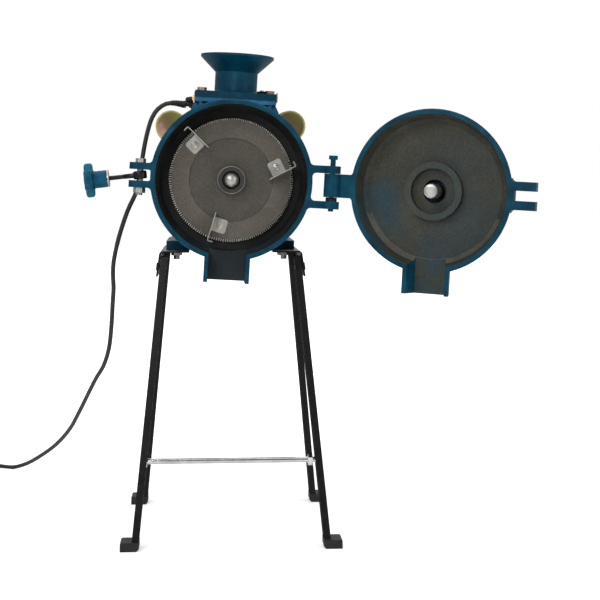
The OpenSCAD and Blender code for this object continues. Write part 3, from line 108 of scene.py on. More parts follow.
def noise(tree, scale, detail=4.0, stretch=(1, 1, 1), rough=0.55):
    """A noise texture that stays with its piece."""
    place = add(tree, "ShaderNodeTexCoord")
    mapping = add(tree, "ShaderNodeMapping")
    mapping.inputs["Scale"].default_value = stretch
    tree.links.new(place.outputs["Object"], mapping.inputs["Vector"])
    made = add(tree, "ShaderNodeTexNoise")
    made.inputs["Scale"].default_value = scale
    made.inputs["Detail"].default_value = detail
    made.inputs["Roughness"].default_value = rough
    tree.links.new(mapping.outputs["Vector"], made.inputs["Vector"])
    return made.outputs["Fac"]


def ramp(tree, source, stops):
    """Turns a value into a colour, by (place, colour) stops."""
    made = add(tree, "ShaderNodeValToRGB")
    while len(made.color_ramp.elements) < len(stops):
        made.color_ramp.elements.new(0.5)
    for element, (place, colour) in zip(made.color_ramp.elements, stops):
        element.position = place
        element.color = (*colour, 1)
    tree.links.new(source, made.inputs["Fac"])
    return made.outputs["Color"]


def remap(tree, source, low, high, start=0.0, end=1.0):
    """Maps the source's low to high onto start to end."""
    made = add(tree, "ShaderNodeMapRange")
    limits = {"From Min": low, "From Max": high, "To Min": start, "To Max": end}
    for name, value in limits.items():
        made.inputs[name].default_value = value
    tree.links.new(source, made.inputs["Value"])
    return made.outputs["Result"]


# A noise texture stays mostly between these two values
NOISE_LOW, NOISE_HIGH = 0.3, 0.7


def spread(tree, source, start, end):
    """Maps a noise onto start to end."""
    return remap(tree, source, NOISE_LOW, NOISE_HIGH, start, end)


def vector_math(tree, operation, source, values=None, result="Vector"):
    made = add(tree, "ShaderNodeVectorMath", operation=operation)
    tree.links.new(source, made.inputs[0])
    if values is not None:
        made.inputs[1].default_value = values
    return made.outputs[result]


def combine(tree, operation, first, second, use_clamp=False):
    made = add(tree, "ShaderNodeMath", operation=operation, use_clamp=use_clamp)
    tree.links.new(first, made.inputs[0])
    tree.links.new(second, made.inputs[1])
    return made.outputs["Value"]


def bump(tree, shader, layers):
    """Stacks bumps, each a source, a depth in millimetres and a strength."""
    last = None
    for source, depth, strength in layers:
        made = add(tree, "ShaderNodeBump")
        made.inputs["Distance"].default_value = depth * MM
        made.inputs["Strength"].default_value = strength
        tree.links.new(source, made.inputs["Height"])
        if last:
            tree.links.new(last, made.inputs["Normal"])
        last = made.outputs["Normal"]
    tree.links.new(last, shader.inputs["Normal"])


def mix_colours(tree, share, first, second):
    made = add(tree, "ShaderNodeMix", data_type="RGBA")
    tree.links.new(share, made.inputs["Factor"])
    tree.links.new(first, made.inputs["A"])
    tree.links.new(second, made.inputs["B"])
    return made.outputs["Result"]


def finish_of(shader, metallic=0.0, specular=0.5):
    shader.inputs["Metallic"].default_value = metallic
    shader.inputs["Specular IOR Level"].default_value = specular


def cast_paint(name, deep, main, pale, grain=1.0):
    """Gloss paint over a sand casting: dimples, runs and worn, dusty patches."""
    made, tree, shader = new_material(name)
    broad = noise(tree, 38, detail=5)
    fine = noise(tree, 420, detail=3)
    dust = noise(tree, 130, detail=6, rough=0.7)
    colour = ramp(tree, broad, [(0.3, deep), (0.5, main), (0.72, pale)])
    speckle = ramp(tree, fine, [(0.35, deep), (0.6, main)])
    share = spread(tree, dust, 0.0, 0.35)
    tree.links.new(mix_colours(tree, share, colour, speckle), shader.inputs["Base Color"])
    tree.links.new(spread(tree, dust, 0.30, 0.52), shader.inputs["Roughness"])
    bump(tree, shader, [(broad, 0.9 * grain, 0.35), (dust, 0.25 * grain, 0.45), (fine, 0.08 * grain, 0.4)])
    finish_of(shader, specular=0.11)
    return made


# How much of bare iron's colour is its grain of sand, at the least and at the most
GRAIN_SHARES = (0.25, 0.65)


def bare_cast(name, deep, main, pale, stain):
    """Dark bare iron with a sand grain, oil stains and a breath of rust."""
    made, tree, shader = new_material(name)
    broad = noise(tree, 26, detail=6, rough=0.65)
    fine = noise(tree, 520, detail=3)
    patches = noise(tree, 60, detail=5)
    sand = noise(tree, 900, detail=2, rough=0.8)
    colour = ramp(tree, broad, [(0.32, deep), (0.5, main), (0.7, pale)])
    stains = ramp(tree, fine, [(0.3, main), (0.7, stain)])
    clouded = mix_colours(tree, spread(tree, patches, 0.0, 0.55), colour, stains)
    grains = ramp(tree, sand, [(0.40, deep), (0.5, main), (0.60, pale)])
    share = spread(tree, fine, *GRAIN_SHARES)
    tree.links.new(mix_colours(tree, share, clouded, grains), shader.inputs["Base Color"])
    tree.links.new(spread(tree, broad, 0.5, 0.72), shader.inputs["Roughness"])
    bump(tree, shader, [(patches, 0.5, 0.35), (fine, 0.12, 0.6), (sand, 0.1, 0.5)])
    finish_of(shader, metallic=0.15, specular=0.3)
    return made


# A drift of overspray is full within the first share of its reach and gone at the second
DRIFT_CORE, DRIFT_EDGE = 0.3, 1.5


def overspray(made, place, patches, tint):
    """Drifts of the tint over a material, round places in the frame of a piece at rest."""
    tree = made.node_tree
    target = next(node for node in tree.nodes if node.type == "BSDF_PRINCIPLED").inputs["Base Color"]
    first = target.links[0].from_socket
    ways = add(tree, "ShaderNodeTexCoord").outputs["Object"]
    total = None
    for centre, reach, strength in patches:
        away = vector_math(tree, "DISTANCE", ways, place @ (Vector(centre) * MM), "Value")
        share = remap(tree, away, DRIFT_EDGE * reach * MM, DRIFT_CORE * reach * MM, 0, strength)
        total = combine(tree, "MAXIMUM", total, share) if total else share
    broken = spread(tree, noise(tree, 160, detail=6, rough=0.7), 0.4, 1.3)
    drift = combine(tree, "MULTIPLY", total, broken, use_clamp=True)
    colour = ramp(tree, noise(tree, 700, detail=2), [(0.35, tint[0]), (0.65, tint[1])])
    tree.links.new(mix_colours(tree, drift, first, colour), target)


def turned_metal(name, dark, bright, stretch=(1, 1, 1), rough=(0.2, 0.38), grain=900, metallic=1.0):
    """Machined metal: fine tool marks and a slight cloud of handling."""
    made, tree, shader = new_material(name)
    marks = noise(tree, grain, detail=2, stretch=stretch)
    cloud = noise(tree, 55, detail=4)
    tree.links.new(ramp(tree, cloud, [(0.3, dark), (0.65, bright)]), shader.inputs["Base Color"])
    tree.links.new(spread(tree, marks, *rough), shader.inputs["Roughness"])
    bump(tree, shader, [(marks, 0.03, 0.4), (cloud, 0.05, 0.2)])
    finish_of(shader, metallic=metallic)
    return made


def passivated(name, stops, grain=75):
    """Zinc with the drifting yellow, green and pink of its passivation."""
    made, tree, shader = new_material(name)
    drift = noise(tree, grain, detail=3, stretch=(1, 0.45, 1))
    marks = noise(tree, 800, detail=2)
    tree.links.new(ramp(tree, drift, stops), shader.inputs["Base Color"])
    tree.links.new(spread(tree, marks, 0.26, 0.42), shader.inputs["Roughness"])
    bump(tree, shader, [(marks, 0.03, 0.4)])
    finish_of(shader, metallic=1.0)
    return made


# The way in which the tint drifts over a can's end, and where its rolled rim starts, as a share of its radius
TINT_WAY = (-0.36, 0, -0.30)
RIM_START, RIM_FULL = 0.86, 0.93


def ringed_zinc(name, centre, radius, stops, rim):
    """Passivated zinc of a can's end: the tint runs across it, and the rolled rim has one of its own."""
    made, tree, shader = new_material(name)
    place = add(tree, "ShaderNodeNewGeometry").outputs["Position"]
    middle = vector_math(tree, "SUBTRACT", place, centre)
    flat = vector_math(tree, "MULTIPLY", middle, (1 / radius, 0, 1 / radius))
    across = vector_math(tree, "DOT_PRODUCT", flat, TINT_WAY, "Value")
    edge = remap(tree, vector_math(tree, "LENGTH", flat, result="Value"), RIM_START, RIM_FULL)
    cloud = noise(tree, 45, detail=5)
    gold = ramp(tree, cloud, [(0.3, rim[0]), (0.7, rim[1])])
    tint = ramp(tree, combine(tree, "ADD", cloud, across), stops)
    tree.links.new(mix_colours(tree, edge, tint, gold), shader.inputs["Base Color"])
    tree.links.new(spread(tree, cloud, 0.3, 0.46), shader.inputs["Roughness"])
    bump(tree, shader, [(cloud, 0.1, 0.3)])
    finish_of(shader, metallic=0.6)
    return made


def moulded(name, dark, light, rough=(0.4, 0.6), grain=600, depth=0.06, specular=0.3):
    """Plastic, rubber or powder paint: a fine orange peel and slight scuffs."""
    made, tree, shader = new_material(name)
    fine = noise(tree, grain, detail=3)
    scuffs = noise(tree, 90, detail=6, rough=0.7)
    tree.links.new(ramp(tree, scuffs, [(0.35, dark), (0.72, light)]), shader.inputs["Base Color"])
    tree.links.new(spread(tree, scuffs, *rough), shader.inputs["Roughness"])
    bump(tree, shader, [(fine, depth, 0.5), (scuffs, depth, 0.3)])
    finish_of(shader, specular=specular)
    return made


def laminated(name):
    """Stacked core sheets: thin rings along the shaft."""
    made, tree, shader = new_material(name)
    sheets = noise(tree, 60, detail=1, stretch=(0.2, 30, 0.2))
    tree.links.new(ramp(tree, sheets, [(0.4, (0.1, 0.1, 0.1)), (0.6, (0.35, 0.35, 0.36))]),
                   shader.inputs["Base Color"])
    tree.links.new(spread(tree, sheets, 0.35, 0.5), shader.inputs["Roughness"])
    bump(tree, shader, [(sheets, 0.1, 0.5)])
    finish_of(shader, metallic=0.9)
    return made


PAINT = cast_paint("teal_cast_paint", (0.0008, 0.020, 0.039), (0.001, 0.042, 0.076), (0.003, 0.070, 0.118))
KNOB_PAINT = cast_paint("knob_paint", (0.002, 0.045, 0.085), (0.005, 0.085, 0.150), (0.014, 0.145, 0.235),
                        grain=0.6)
INSIDE = bare_cast("bare_inside", (0.004, 0.005, 0.0048), (0.011, 0.012, 0.0105), (0.026, 0.027, 0.022),
                   (0.012, 0.020, 0.022))
COVER_INSIDE = bare_cast("cover_inside", (0.012, 0.013, 0.010), (0.037, 0.037, 0.027), (0.090, 0.084, 0.061),
                         (0.018, 0.034, 0.036))
# Drifts of teal overspray inside the cover: centre in the cover's frame, reach and strength
SPRAYED = [
    ((66, -18, -13), 22, 0.85), ((58, -18, -34), 20, 0.8), ((46, -18, -48), 18, 0.35),
    ((-6, -18, -76), 26, 0.5), ((67, -9, -60), 16, 0.7), ((84, -9, -30), 14, 0.6),
    ((-44, -18, -46), 46, 0.35), ((-30, -18, 30), 34, 0.2), ((-5, -18, -92), 12, 0.8),
    ((12, -18, -124), 16, 0.7), ((-10, -18, -124), 12, 0.5),
]
overspray(COVER_INSIDE, COVER, SPRAYED, [(0.002, 0.030, 0.050), (0.006, 0.060, 0.092)])
BOSS_RING = bare_cast("boss_ring", (0.014, 0.020, 0.019), (0.030, 0.046, 0.045), (0.056, 0.074, 0.070),
                      (0.026, 0.042, 0.043))
COVE = bare_cast("cove_line", (0.030, 0.031, 0.026), (0.078, 0.074, 0.060), (0.150, 0.142, 0.118),
                 (0.040, 0.050, 0.046))
PLATE = bare_cast("grinding_cast", (0.042, 0.038, 0.031), (0.078, 0.071, 0.058), (0.120, 0.110, 0.092),
                  (0.058, 0.050, 0.042))
BAND = bare_cast("ground_band", (0.070, 0.062, 0.050), (0.116, 0.104, 0.084), (0.168, 0.152, 0.126),
                 (0.085, 0.072, 0.059))
HUB = bare_cast("dark_hub", (0.012, 0.012, 0.011), (0.030, 0.029, 0.026), (0.055, 0.052, 0.047),
                (0.03, 0.028, 0.025))
LOW_INSIDE = bare_cast("low_inside", (0.006, 0.010, 0.012), (0.014, 0.022, 0.026), (0.024, 0.034, 0.038),
                       (0.010, 0.022, 0.028))
# Painted light: the top of the body under the hopper, and the bolt ends there, get brighter paint for the
# light that falls on the gloss paint
LIT_TOP_PAINT = cast_paint("top_painted_light_paint", (0.006, 0.070, 0.160), (0.022, 0.130, 0.280),
                          (0.070, 0.260, 0.480), grain=1.6)
WORN = bare_cast("worn_edge", (0.020, 0.016, 0.011), (0.048, 0.038, 0.026), (0.085, 0.070, 0.050),
                 (0.010, 0.040, 0.060))
DULL_STEEL = turned_metal("dull_steel", (0.34, 0.33, 0.31), (0.52, 0.51, 0.48), rough=(0.36, 0.5))
GREY_ZINC = turned_metal("grey_zinc", (0.30, 0.30, 0.29), (0.46, 0.46, 0.45), rough=(0.35, 0.55))
# Painted highlight: a near-white matte colour on the tooth tips, in place of their glints
RIM = turned_metal("tooth_tip_painted_glint", (0.76, 0.73, 0.65), (0.95, 0.92, 0.84), rough=(0.35, 0.5), metallic=0.0)
# Painted highlight: a lighter ring along the disc hub's front edge
HUB_GLINT = turned_metal("hub_painted_highlight", (0.22, 0.21, 0.19), (0.34, 0.33, 0.30), rough=(0.35, 0.5), metallic=0.4)
STEEL = turned_metal("turned_steel", (0.48, 0.48, 0.47), (0.72, 0.72, 0.71))
SHEET = turned_metal("zinc_sheet", (0.30, 0.30, 0.28), (0.46, 0.46, 0.43), stretch=(1, 1, 0.2),
                     rough=(0.3, 0.5), grain=500, metallic=0.55)
CHROME = turned_metal("chrome_bar", (0.46, 0.47, 0.46), (0.66, 0.67, 0.66), rough=(0.08, 0.2))
BLACK_STEEL = turned_metal("blackened_steel", (0.012, 0.012, 0.013), (0.05, 0.05, 0.052), rough=(0.3, 0.5))
YELLOW_ZINC = passivated("yellow_zinc", [(0.28, (0.52, 0.42, 0.17)), (0.42, (0.62, 0.56, 0.33)),
                                         (0.55, (0.60, 0.46, 0.44)), (0.7, (0.42, 0.52, 0.36))])
BOLT_ZINC = passivated("bolt_zinc", [(0.28, (0.20, 0.16, 0.045)), (0.42, (0.30, 0.25, 0.10)),
                                   (0.55, (0.34, 0.20, 0.16)), (0.7, (0.18, 0.22, 0.10))], grain=45)
# The capacitor cans' places and radius in metres, which their tint follows
CAN_PLACES = {"capacitor_left": (-0.0762, 0, 0.5223), "capacitor_right": (0.0762, 0, 0.5223)}
CAN_R = 0.0197
CAN_STOPS = [(0.15, (0.15, 0.15, 0.025)), (0.42, (0.12, 0.095, 0.034)), (0.62, (0.17, 0.11, 0.060)),
             (0.85, (0.42, 0.24, 0.20))]
CAN_RIM = [(0.36, 0.29, 0.08), (0.60, 0.50, 0.20)]
CAN_ROUNDING = 1.0

TARNISHED = turned_metal("tarnished_brass", (0.30, 0.14, 0.06), (0.62, 0.34, 0.17), rough=(0.3, 0.45))
BRASS = turned_metal("brass", (0.50, 0.33, 0.10), (0.78, 0.58, 0.25))
COPPER = turned_metal("copper_wire", (0.35, 0.13, 0.05), (0.62, 0.28, 0.12), stretch=(1, 8, 1),
                      rough=(0.3, 0.5))
CORE = laminated("core_sheets")
POWDER = moulded("black_powder_paint", (0.004, 0.004, 0.0045), (0.010, 0.010, 0.011), rough=(0.3, 0.46),
                 grain=700, depth=0.08, specular=0.16)
PLASTIC = moulded("black_plastic", (0.008, 0.008, 0.009), (0.022, 0.022, 0.023), rough=(0.35, 0.5))
RUBBER = moulded("black_rubber", (0.010, 0.010, 0.010), (0.028, 0.027, 0.026), rough=(0.55, 0.75), grain=450)
IVORY = moulded("ivory_plastic", (0.55, 0.50, 0.38), (0.72, 0.68, 0.55))
GASKET = moulded("gasket_sheet", (0.010, 0.010, 0.010), (0.024, 0.023, 0.021), rough=(0.6, 0.8), grain=300,
                 depth=0.1)
SHEATH = moulded("cord_sheath", (0.018, 0.018, 0.018), (0.040, 0.039, 0.038), rough=(0.42, 0.6), grain=900,
                 depth=0.04)

MATERIALS = {
    PAINT: "mill_body hopper cover hinge_pin motor_frame front_shield rear_shield",
    KNOB_PAINT: "adjusting_knob clamp_knob",
    PLATE: "fixed_plate grinding_disc feed_auger",
    STEEL: "motor_shaft front_bearing rear_bearing lock_nut fixed_plate_screws lid_screws fan_cover_screws",
    DULL_STEEL: "thrust_ball thrust_pin",
    GREY_ZINC: "pivot_bolt foot_bolts",
    SHEET: "scrapers feed_gate clamp_washer capacitor_clamps",
    YELLOW_ZINC: "scraper_screws",
    BOLT_ZINC: "hopper_bolts",
    CHROME: "tie_rod",
    POWDER: "bracket_left bracket_right leg_front_left leg_front_right leg_rear_left leg_rear_right "
            "fan_cover switch_box switch_box_lid",
    BLACK_STEEL: "swing_bolt adjusting_screw leg_bolts",
    PLASTIC: "cooling_fan cable_gland",
    IVORY: "terminal_block",
    RUBBER: "shaft_seal foot_caps toggle_lever plug_body coil_tie",
    GASKET: "hopper_gasket",
    BRASS: "toggle_body plug_pins",
    COPPER: "stator_windings",
    CORE: "stator_core rotor_core",
    SHEATH: "cord cord_coil",
}

# Rounding of each solid's edges, in millimetres
ROUNDED = {
    1.6: "mill_body cover front_shield rear_shield",
    1.0: "hopper motor_frame hinge_pin fan_cover cooling_fan foot_caps "
         "bracket_left bracket_right grinding_disc",
    0.6: "leg_front_left leg_front_right leg_rear_left leg_rear_right switch_box switch_box_lid plug_body "
         "pivot_bolt foot_bolts hopper_bolts lock_nut tie_rod adjusting_screw thrust_pin terminal_block "
         "cable_gland toggle_body leg_bolts swing_bolt",
    0.3: "scrapers feed_gate clamp_washer capacitor_clamps scraper_screws fixed_plate_screws lid_screws "
         "fan_cover_screws plug_pins coil_tie motor_shaft hopper_gasket",
}


def dress_cans():
    for name, centre in CAN_PLACES.items():
        finish = ringed_zinc(f"{name}_zinc", centre, CAN_R, CAN_STOPS, CAN_RIM)
        nodes[name].data.materials.clear()
        nodes[name].data.materials.append(finish)
        round_edges(nodes[name], CAN_ROUNDING)


def dress_solids():
    for material, names in MATERIALS.items():
        for name in names.split():
            solid = nodes[name]
            solid.data.materials.clear()
            solid.data.materials.append(material)
    for size, names in ROUNDED.items():
        for name in names.split():
            round_edges(nodes[name], size)


def round_edges(piece, size, angle=30):
    bevel = piece.modifiers.new("rounded", "BEVEL")
    bevel.width = size * MM
    bevel.segments = 3
    bevel.limit_method = "ANGLE"
    bevel.angle_limit = math.radians(angle)
    bevel.harden_normals = True
    bevel.use_clamp_overlap = True


# Pieces made here

def add_piece(name, mesh, material, body, place=None, smooth=True):
    """Puts a mesh in its place as a piece that rides on a body."""
    if place:
        mesh.transform(place)
    mesh.materials.append(material)
    for face in mesh.polygons:
        face.use_smooth = smooth
    piece = bpy.data.objects.new(name, mesh)
    bpy.context.collection.objects.link(piece)
    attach(piece, body)
    return piece


def grid_mesh(name, rows, closed_rows=False):
    """A skin over rows of points, each a closed ring; closed_rows joins the last row to the first."""
    mesh = bpy.data.meshes.new(name)
    count = len(rows[0])
    points = [Vector(p) * MM for row in rows for p in row]
    faces = []
    spans = len(rows) if closed_rows else len(rows) - 1
    for i in range(spans):
        for j in range(count):
            a, b = i * count + j, i * count + (j + 1) % count
            c, d = ((i + 1) % len(rows)) * count + (j + 1) % count, ((i + 1) % len(rows)) * count + j
            faces.append((a, b, c, d))
    if not closed_rows:
        faces.append(tuple(range(count))[::-1])
        faces.append(tuple(range((len(rows) - 1) * count, len(rows) * count)))
    mesh.from_pydata(points, [], faces)
    mesh.update()
    fix = bmesh.new()
    fix.from_mesh(mesh)
    bmesh.ops.recalc_face_normals(fix, faces=fix.faces)
    fix.to_mesh(mesh)
    fix.free()
    return mesh


def ring_points(r, z, count=64):
    """A circle of points round Z at the height z."""
    angles = [2 * math.pi * j / count for j in range(count)]
    return [(r * math.cos(a), r * math.sin(a), z) for a in angles]


def spun_z(name, profile, count=64, closed=False):
    """Turned about Z from (radius, z) points."""
    return grid_mesh(name, [ring_points(r, z, count) for r, z in profile], closed)


def lathe(name, profile, count=96, closed=True):
    """Turned about Y from (radius, y) points."""
    rows = [[(x, y, z) for x, z, _ in ring_points(r, y, count)] for r, y in profile]
    return grid_mesh(name, rows, closed)


# Cord: the same points as the solids, a free stretch and a coil of two layers, as one piece

CORD_R = 3.0
CORD_POINTS = [
    (-55, 29, 554.5), (-63, 29, 554.5), (-73, 29, 556), (-85, 29, 555), (-96, 29, 548),
    (-104, 29, 536), (-110, 29, 517), (-115, 29, 493), (-118, 29, 473), (-124, 31, 440), (-137, 35, 411),
    (-149, 42, 375), (-156, 46, 343), (-157, 48, 322), (-156.5, 52, 308), (-158, 54, 284),
    (-160, 60, 255), (-164, 71, 224), (-173, 92, 197), (-187, 120, 173), (-215, 182, 118),
    (-233, 223, 86), (-259, 275, 54), (-290, 322, 27), (-313, 353, 11), (-335, 370, 3),
    (-357, 381.5, 3),
]
COIL_CENTRE = (-398, 359)
COIL_START, COIL_ANGLE = 63, 1224
COIL_R, COIL_PITCH, COIL_LAYER, COIL_FLOOR = 33, 6.6, 6.5, 4.1
COIL_LEAD, PLUG_LEAD = 9, 30
CORD_STEP, COIL_STEPS = 15, 120
FULL_TURN = 360


def coil_point(t):
    """A point of the coil, t degrees along: inward in the lower layer, then outward in the upper one."""
    r = COIL_R - COIL_PITCH * COIL_ANGLE / (4 * FULL_TURN) + COIL_PITCH * abs(t - COIL_ANGLE / 2) / FULL_TURN
    climb = max(0, min(1, (t - COIL_ANGLE / 2) / (FULL_TURN / 2) + 0.5))
    angle = math.radians(COIL_START + t)
    height = COIL_FLOOR + COIL_LAYER * (1 - math.cos(math.pi * climb)) / 2
    return Vector((COIL_CENTRE[0] + r * math.cos(angle), COIL_CENTRE[1] + r * math.sin(angle), height))


def coil_heading(t):
    angle = math.radians(COIL_START + t)
    return Vector((-math.sin(angle), math.cos(angle), 0))


def between(a, b, c, d, t):
    """A smooth curve from b to c, with a and d as its neighbours."""
    return (b * 2 + (c - a) * t + (a * 2 - b * 5 + c * 4 - d) * t * t + (b * 3 - a - c * 3 + d) * t**3) / 2


def cord_way():
    entry = coil_point(0) - coil_heading(0) * COIL_LEAD
    ends = [Vector(p) for p in CORD_POINTS]
    ends = [ends[0] + Vector((2 * CORD_R, 0, 0))] + ends
    ends += [entry - coil_heading(0) * 2 * CORD_R, entry, entry + coil_heading(0) * 2 * CORD_R]
    way = []
    for i in range(1, len(ends) - 2):
        count = max(2, round((ends[i + 1] - ends[i]).length / CORD_STEP * 2))
        way += [between(*ends[i - 1:i + 3], j / count) for j in range(count)]
    way += [coil_point(COIL_ANGLE * i / COIL_STEPS) for i in range(COIL_STEPS + 1)]
    way.append(coil_point(COIL_ANGLE) + coil_heading(COIL_ANGLE) * PLUG_LEAD)
    return way


def curve_piece(name, way, radius, material, body):
    data = bpy.data.curves.new(name, "CURVE")
    data.dimensions = "3D"
    data.bevel_depth = radius * MM
    data.bevel_resolution = 6
    data.use_fill_caps = True
    spline = data.splines.new("POLY")
    spline.points.add(len(way) - 1)
    for point, place in zip(spline.points, way):
        point.co = (*(Vector(place) * MM), 1)
    data.materials.append(material)
    piece = bpy.data.objects.new(name, data)
    bpy.context.collection.objects.link(piece)
    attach(piece, body)
    return piece


def make_cord():
    way = cord_way()
    cord = curve_piece("power_cord", way, CORD_R, SHEATH, "mill")
    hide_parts("cord", "cord_coil")
    relief = make_relief()


RELIEF_START, RELIEF_END, RELIEF_FLOOR = -55.5, -82, 500
RELIEF_R, RELIEF_TAPER, RIB_DEPTH = 5.2, 1.7, 0.5
RELIEF_RIBS, RELIEF_STEPS, RELIEF_SIDES = 6, 6, 32
# Each rib's groove is where a wave along the relief falls below this
GROOVE_LEVEL = -0.2


def make_relief():
    """Ribbed strain relief that tapers along the first stretch of cord."""
    way = [p for p in cord_way() if RELIEF_END < p.x <= RELIEF_START and p.z > RELIEF_FLOOR]
    rows = []
    spans = len(way) - 1
    for i in range(spans * RELIEF_STEPS + 1):
        share = i / (spans * RELIEF_STEPS)
        k = min(int(share * spans), spans - 1)
        place = way[k].lerp(way[k + 1], share * spans - k)
        along = (way[k + 1] - way[k]).normalized()
        groove = RIB_DEPTH if math.sin(share * RELIEF_RIBS * 2 * math.pi) < GROOVE_LEVEL else 0
        r = RELIEF_R - RELIEF_TAPER * share - groove
        side = Vector((0, 1, 0))
        up = along.cross(side).normalized()
        rows.append([place + side * x + up * y for x, y, _ in ring_points(r, 0, RELIEF_SIDES)])
    mesh = grid_mesh("cord_relief", rows)
    return add_piece("cord_relief", mesh, RUBBER, "mill")


# Two-tone castings: paint outside, bare iron inside
# The limits are those of the faces' middles, in the head's or the cover's frame, with the joint face at y 0

CHAMBER_R, CHAMBER_DEPTH = 94, 55
CHAMBER_FLOOR, CHAMBER_LOW = -60, -78
BOWL_DEPTH = 28
# How far a middle may lie past its wall, and how far inside the joint face the bare iron starts
SLACK, BODY_LIP, COVER_LIP = 0.4, 0.3, -0.5
CHUTE_TOP = -74
CHUTE_HALF_W, CHUTE_DEPTH = 23.5, 53.5
COVER_CHUTE_HALF_W, COVER_CHUTE_DEPTH = 24.2, 25.5
PAINTED_WALL_TOP = -88
WORN_DEPTH, WORN_R, WORN_BOTTOM = 9, 80, -70
DUCT_BOTTOM, DUCT_FRONT, DUCT_HALF_W, DRUM_SKIN_R = 84, 24, 60, 100.4
PIN_BORE_R, PIN_BORE_DEPTH = 12, 44.4
BOSS_RING_IN, BOSS_RING_OUT, BOSS_RING_BACK = 20, 33, -17.5
COVE_IN, COVE_OUT, COVE_FRONT, COVE_TOP = 80, 95, -8, -30
SPACER_BOTTOM, SPACER_TOP, SPACER_IN = -20, -14.7, 5
BOLT_PAINT_TOP = 101
# The least part of a face's normal that lies along an axis, for a face that looks that way
FACING, SIDEWAYS, FLAT = 0.5, 0.7, 0.9
COVE_SLOPE_LOW, COVE_SLOPE_HIGH = 0.5, 0.86


def split_material(node, place, inside, material):
    """Gives one more material to the faces for which inside(centre, normal) holds in the piece's frame."""
    mesh = node.data
    mesh.materials.append(material)
    back = place.inverted()
    for face in mesh.polygons:
        centre = back @ Vector(face.center)
        normal = back.to_3x3() @ face.normal
        if inside(centre / MM, normal):
            face.material_index = len(mesh.materials) - 1


def in_drum(p, n):
    chamber = math.hypot(p.x, p.z) < CHAMBER_R + SLACK and BODY_LIP < p.y < CHAMBER_DEPTH + SLACK
    inward = p.x * n.x + p.z * n.z <= 0.5
    chute = abs(p.x) < CHUTE_HALF_W and p.z < CHUTE_TOP and BODY_LIP < p.y < CHUTE_DEPTH
    upright = abs(n.x) > FACING or abs(n.y) > FACING
    return chamber and inward or chute and upright


def in_low_drum(p, n):
    return in_drum(p, n) and (p.z < CHAMBER_LOW or p.z < CHAMBER_FLOOR and n.z > FACING)


# The top of the body under the hopper, where the brighter paint stands in for light falling on it
def in_duct(p, n):
    return (p.z > DUCT_BOTTOM and p.y > DUCT_FRONT and abs(p.x) < DUCT_HALF_W
            and math.hypot(p.x, p.z) > DRUM_SKIN_R)


def at_worn_edge(p, n):
    """The first few millimetres of the chamber's wall, where the paint is rubbed off."""
    return (WORN_R < math.hypot(p.x, p.z) < CHAMBER_R + SLACK and BODY_LIP < p.y < WORN_DEPTH
            and p.z > WORN_BOTTOM)


def in_spacer(p, n):
    return SPACER_BOTTOM < p.z < SPACER_TOP and math.hypot(p.x - HINGE_X, p.y) > SPACER_IN


def in_cover(p, n):
    r = math.hypot(p.x, p.z)
    bowl = r < CHAMBER_R + SLACK and -BOWL_DEPTH < p.y < COVER_LIP and n.y > -FACING
    bore = r < PIN_BORE_R and -PIN_BORE_DEPTH < p.y < COVER_LIP
    chute = abs(p.x) < COVER_CHUTE_HALF_W and p.z < CHUTE_TOP and -COVER_CHUTE_DEPTH < p.y < COVER_LIP
    painted_wall = p.z < PAINTED_WALL_TOP and n.x < -SIDEWAYS
    return (bowl or bore or chute) and not painted_wall


def in_boss_ring(p, n):
    return BOSS_RING_IN < math.hypot(p.x, p.z) < BOSS_RING_OUT and n.y > FLAT and p.y > BOSS_RING_BACK


def in_cove(p, n):
    return (COVE_IN < math.hypot(p.x, p.z) < COVE_OUT and COVE_SLOPE_LOW < n.y < COVE_SLOPE_HIGH
            and p.y < COVE_FRONT and p.z < COVE_TOP)


def at_gasket_edge(p, n):
    return abs(n.z) < FACING


# The bolts' lower ends under the flange, in the same painted light
def at_bolt_end(p, n):
    return p.z < BOLT_PAINT_TOP


def split_tones():
    """Later rows go over earlier ones."""
    for node, place, inside, material in (
        ("mill_body", HEAD, in_drum, INSIDE),
        ("mill_body", HEAD, in_low_drum, LOW_INSIDE),
        ("mill_body", HEAD, in_duct, LIT_TOP_PAINT),
        ("mill_body", HEAD, at_worn_edge, WORN),
        ("cover", COVER, in_cover, COVER_INSIDE),
        ("cover", COVER, in_boss_ring, BOSS_RING),
        ("cover", COVER, in_cove, COVE),
        ("hopper_gasket", HEAD, at_gasket_edge, PAINT),
        ("hopper_bolts", HEAD, at_bolt_end, LIT_TOP_PAINT),
        ("hinge_pin", HEAD, in_spacer, BLACK_STEEL),
    ):
        split_material(nodes[node], place, inside, material)


# Grinding faces with fine radial teeth

PLATE_R, PLATE_RIM, PLATE_HOLE_R = 78.3, 74.2, 26
PLATE_FRONT, PLATE_BACK = 47, 55
DISC_R, DISC_FRONT = 75.5, 39.5
DISC_RIM, DISC_RIM_T, DISC_TIP = 74.9, 2.5, 74.8
# How far the disc's ring of teeth stands out of the disc, sideways and forwards, and how far it laps its face
RIM_OVERHANG, RIM_PROUD, RIM_LAP = 0.35, 0.25, 0.4
# The hub, and the ring along its front edge that carries a painted highlight
HUB_R, HUB_BACK, HUB_RING_IN, HUB_RING_OUT, HUB_RING_BACK = 17.8, 39, 16.4, 17.6, 27
BAND_IN, BAND_BACK = 52.9, 42
RIM_TEETH, POINTS_PER_TOOTH = 168, 8
PLATE_TOOTH, DISC_TOOTH = 0.7, 0.55
# The share of a tooth's pitch, to each side of its middle, that gets the painted highlight
TOOTH_TIP = 0.2
RIM_EDGE, RIM_ROUND, RIM_BACK_EDGE, FACE_DROP = 0.6, 0.4, 0.5, 0.1


